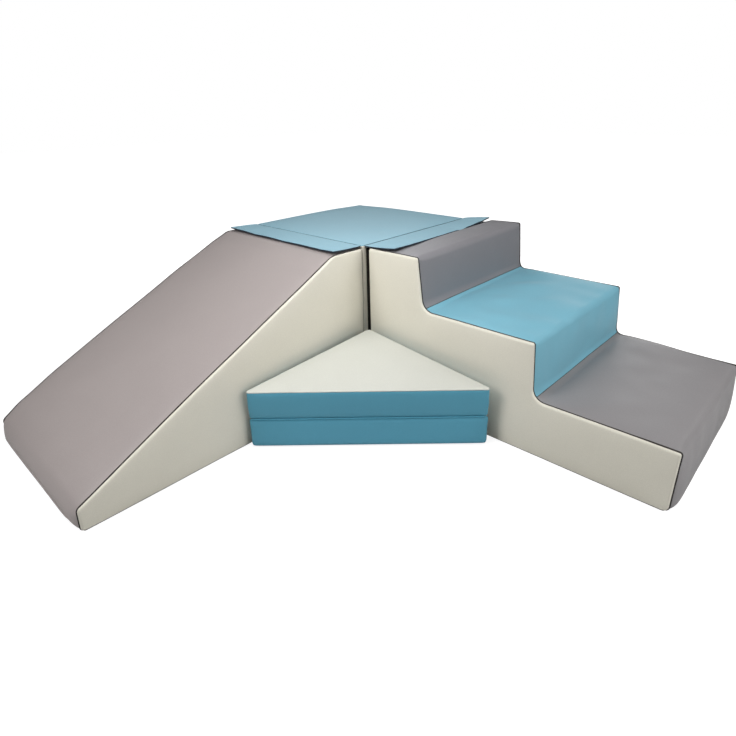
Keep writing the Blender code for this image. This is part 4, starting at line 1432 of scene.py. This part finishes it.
def softbox(name, place, aim, size, power):
    data = bpy.data.lights.new(name, "AREA")
    data.shape, data.size, data.size_y = "RECTANGLE", size[0], size[1]
    data.energy = power
    lamp = shown(name, data)
    lamp.location = place
    lamp.rotation_mode = "QUATERNION"
    lamp.rotation_quaternion = (Vector(place) - Vector(aim)).to_track_quat("Z", "Y")


def white_world(ambient):
    """Faint light from all round; only the camera sees it as plain white."""
    world = bpy.data.worlds.new("studio")
    bpy.context.scene.world = world
    world.use_nodes = True
    tree = world.node_tree
    start = Wire(tree)
    rays = start.node("LightPath", output="Is Camera Ray")
    light = start.node("Background", None, {"Color": WHITE, "Strength": ambient})
    seen = start.node("Background", None, {"Color": WHITE, "Strength": 1.0})
    mixed = start.node("MixShader", None, {0: rays, 1: light, 2: seen})
    output = next(n for n in tree.nodes if n.type == "OUTPUT_WORLD")
    tree.links.new(mixed.socket, output.inputs["Surface"])


def white_floor():
    """A pale floor that the camera sees as white, with a trace of the object's shadow on it."""
    mesh = bpy.data.meshes.new("floor")
    signs = ((-1, -1), (1, -1), (1, 1), (-1, 1))
    corners = [(x * FLOOR_HALF, y * FLOOR_HALF, -FLOOR_DROP) for x, y in signs]
    mesh.from_pydata(corners, [], [(0, 1, 2, 3)])
    floor = shown("floor", mesh)
    made, place, shader = new_finish("floor")
    shader.inputs["Base Color"].default_value = linear((226, 226, 226))
    shader.inputs["Roughness"].default_value = 1.0
    shader.inputs["Specular IOR Level"].default_value = 0.0
    rays = place.node("LightPath", output="Is Camera Ray")
    tree = made.node_tree
    lit = Wire(tree, shader.outputs[0])
    near, far = (place.node("Emission", None, {"Color": WHITE, "Strength": glow}) for glow in FLOOR_GLOW)
    away = place.node("VectorMath", {"operation": "DISTANCE"}, {0: place, 1: GLOW_CENTRE}, "Value")
    glow = place.node("MixShader", None, {0: away.ramp(*GLOW_FADE), 1: near, 2: far})
    seen = place.node("MixShader", None, {0: GLOW_SHARE, 1: lit, 2: glow})
    bounce = place.node("BsdfDiffuse", None, {"Color": BOUNCE})
    mixed = place.node("MixShader", None, {0: rays, 1: bounce, 2: seen})
    output = next(n for n in tree.nodes if n.type == "OUTPUT_MATERIAL")
    tree.links.new(mixed.socket, output.inputs["Surface"])
    mesh.materials.append(made)
    floor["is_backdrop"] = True


LAMPS = [
    ("overhead", (0.3, -0.3, 2.4), (0.3, -0.3, 0), (2.2, 2.2), 3.5),
    ("nook", (0.75, -0.75, 1.5), (0.25, -0.25, 0.2), (0.6, 0.6), 2.5),
    ("over the nook", (0.5, -0.55, 1.15), (0.3, -0.28, 0.3), (0.3, 0.3), 2.4),
    ("steps' side", (0.45, -0.95, 1.1), (0.4, -0.27, 0.3), (0.4, 0.4), 2.4),
    ("front left", (0.0, -2.0, 1.3), (0.6, -0.2, 0.2), (1.0, 1.0), 18),
    ("right", (2.4, -0.5, 1.0), (0.4, -0.5, 0.2), (1.0, 1.0), 9.5),
    ("low right", (2.1, 0.0, 0.75), (0.6, -0.1, 0.3), (0.7, 0.7), 3.7),
    ("back", (-1.0, 1.0, 1.8), (0.1, -0.1, 0.3), (1.2, 1.2), 12),
    ("right back", (2.0, 0.6, 1.6), (0.7, -0.1, 0.3), (1.2, 1.2), 13),
    ("sheen", (0.3, 2.0, 0.8), (0.3, 0.2, 0.3), (0.8, 0.8), 2.8),
    ("rear", (0.2, 2.0, 0.30), (0.2, 0.2, 0.26), (1.0, 0.25), 3.5),
    ("rear left", (-2.0, -0.2, 0.30), (-0.2, -0.2, 0.26), (1.0, 0.25), 5),
]

make_camera()
white_world(AMBIENT)
white_floor()
for lamp in LAMPS:
    softbox(*lamp)
bpy.context.scene.view_settings.view_transform = "Standard"

dressed_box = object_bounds()
sizes = {"cad": [list(corner) for corner in cad_box], "visual": [list(corner) for corner in dressed_box]}
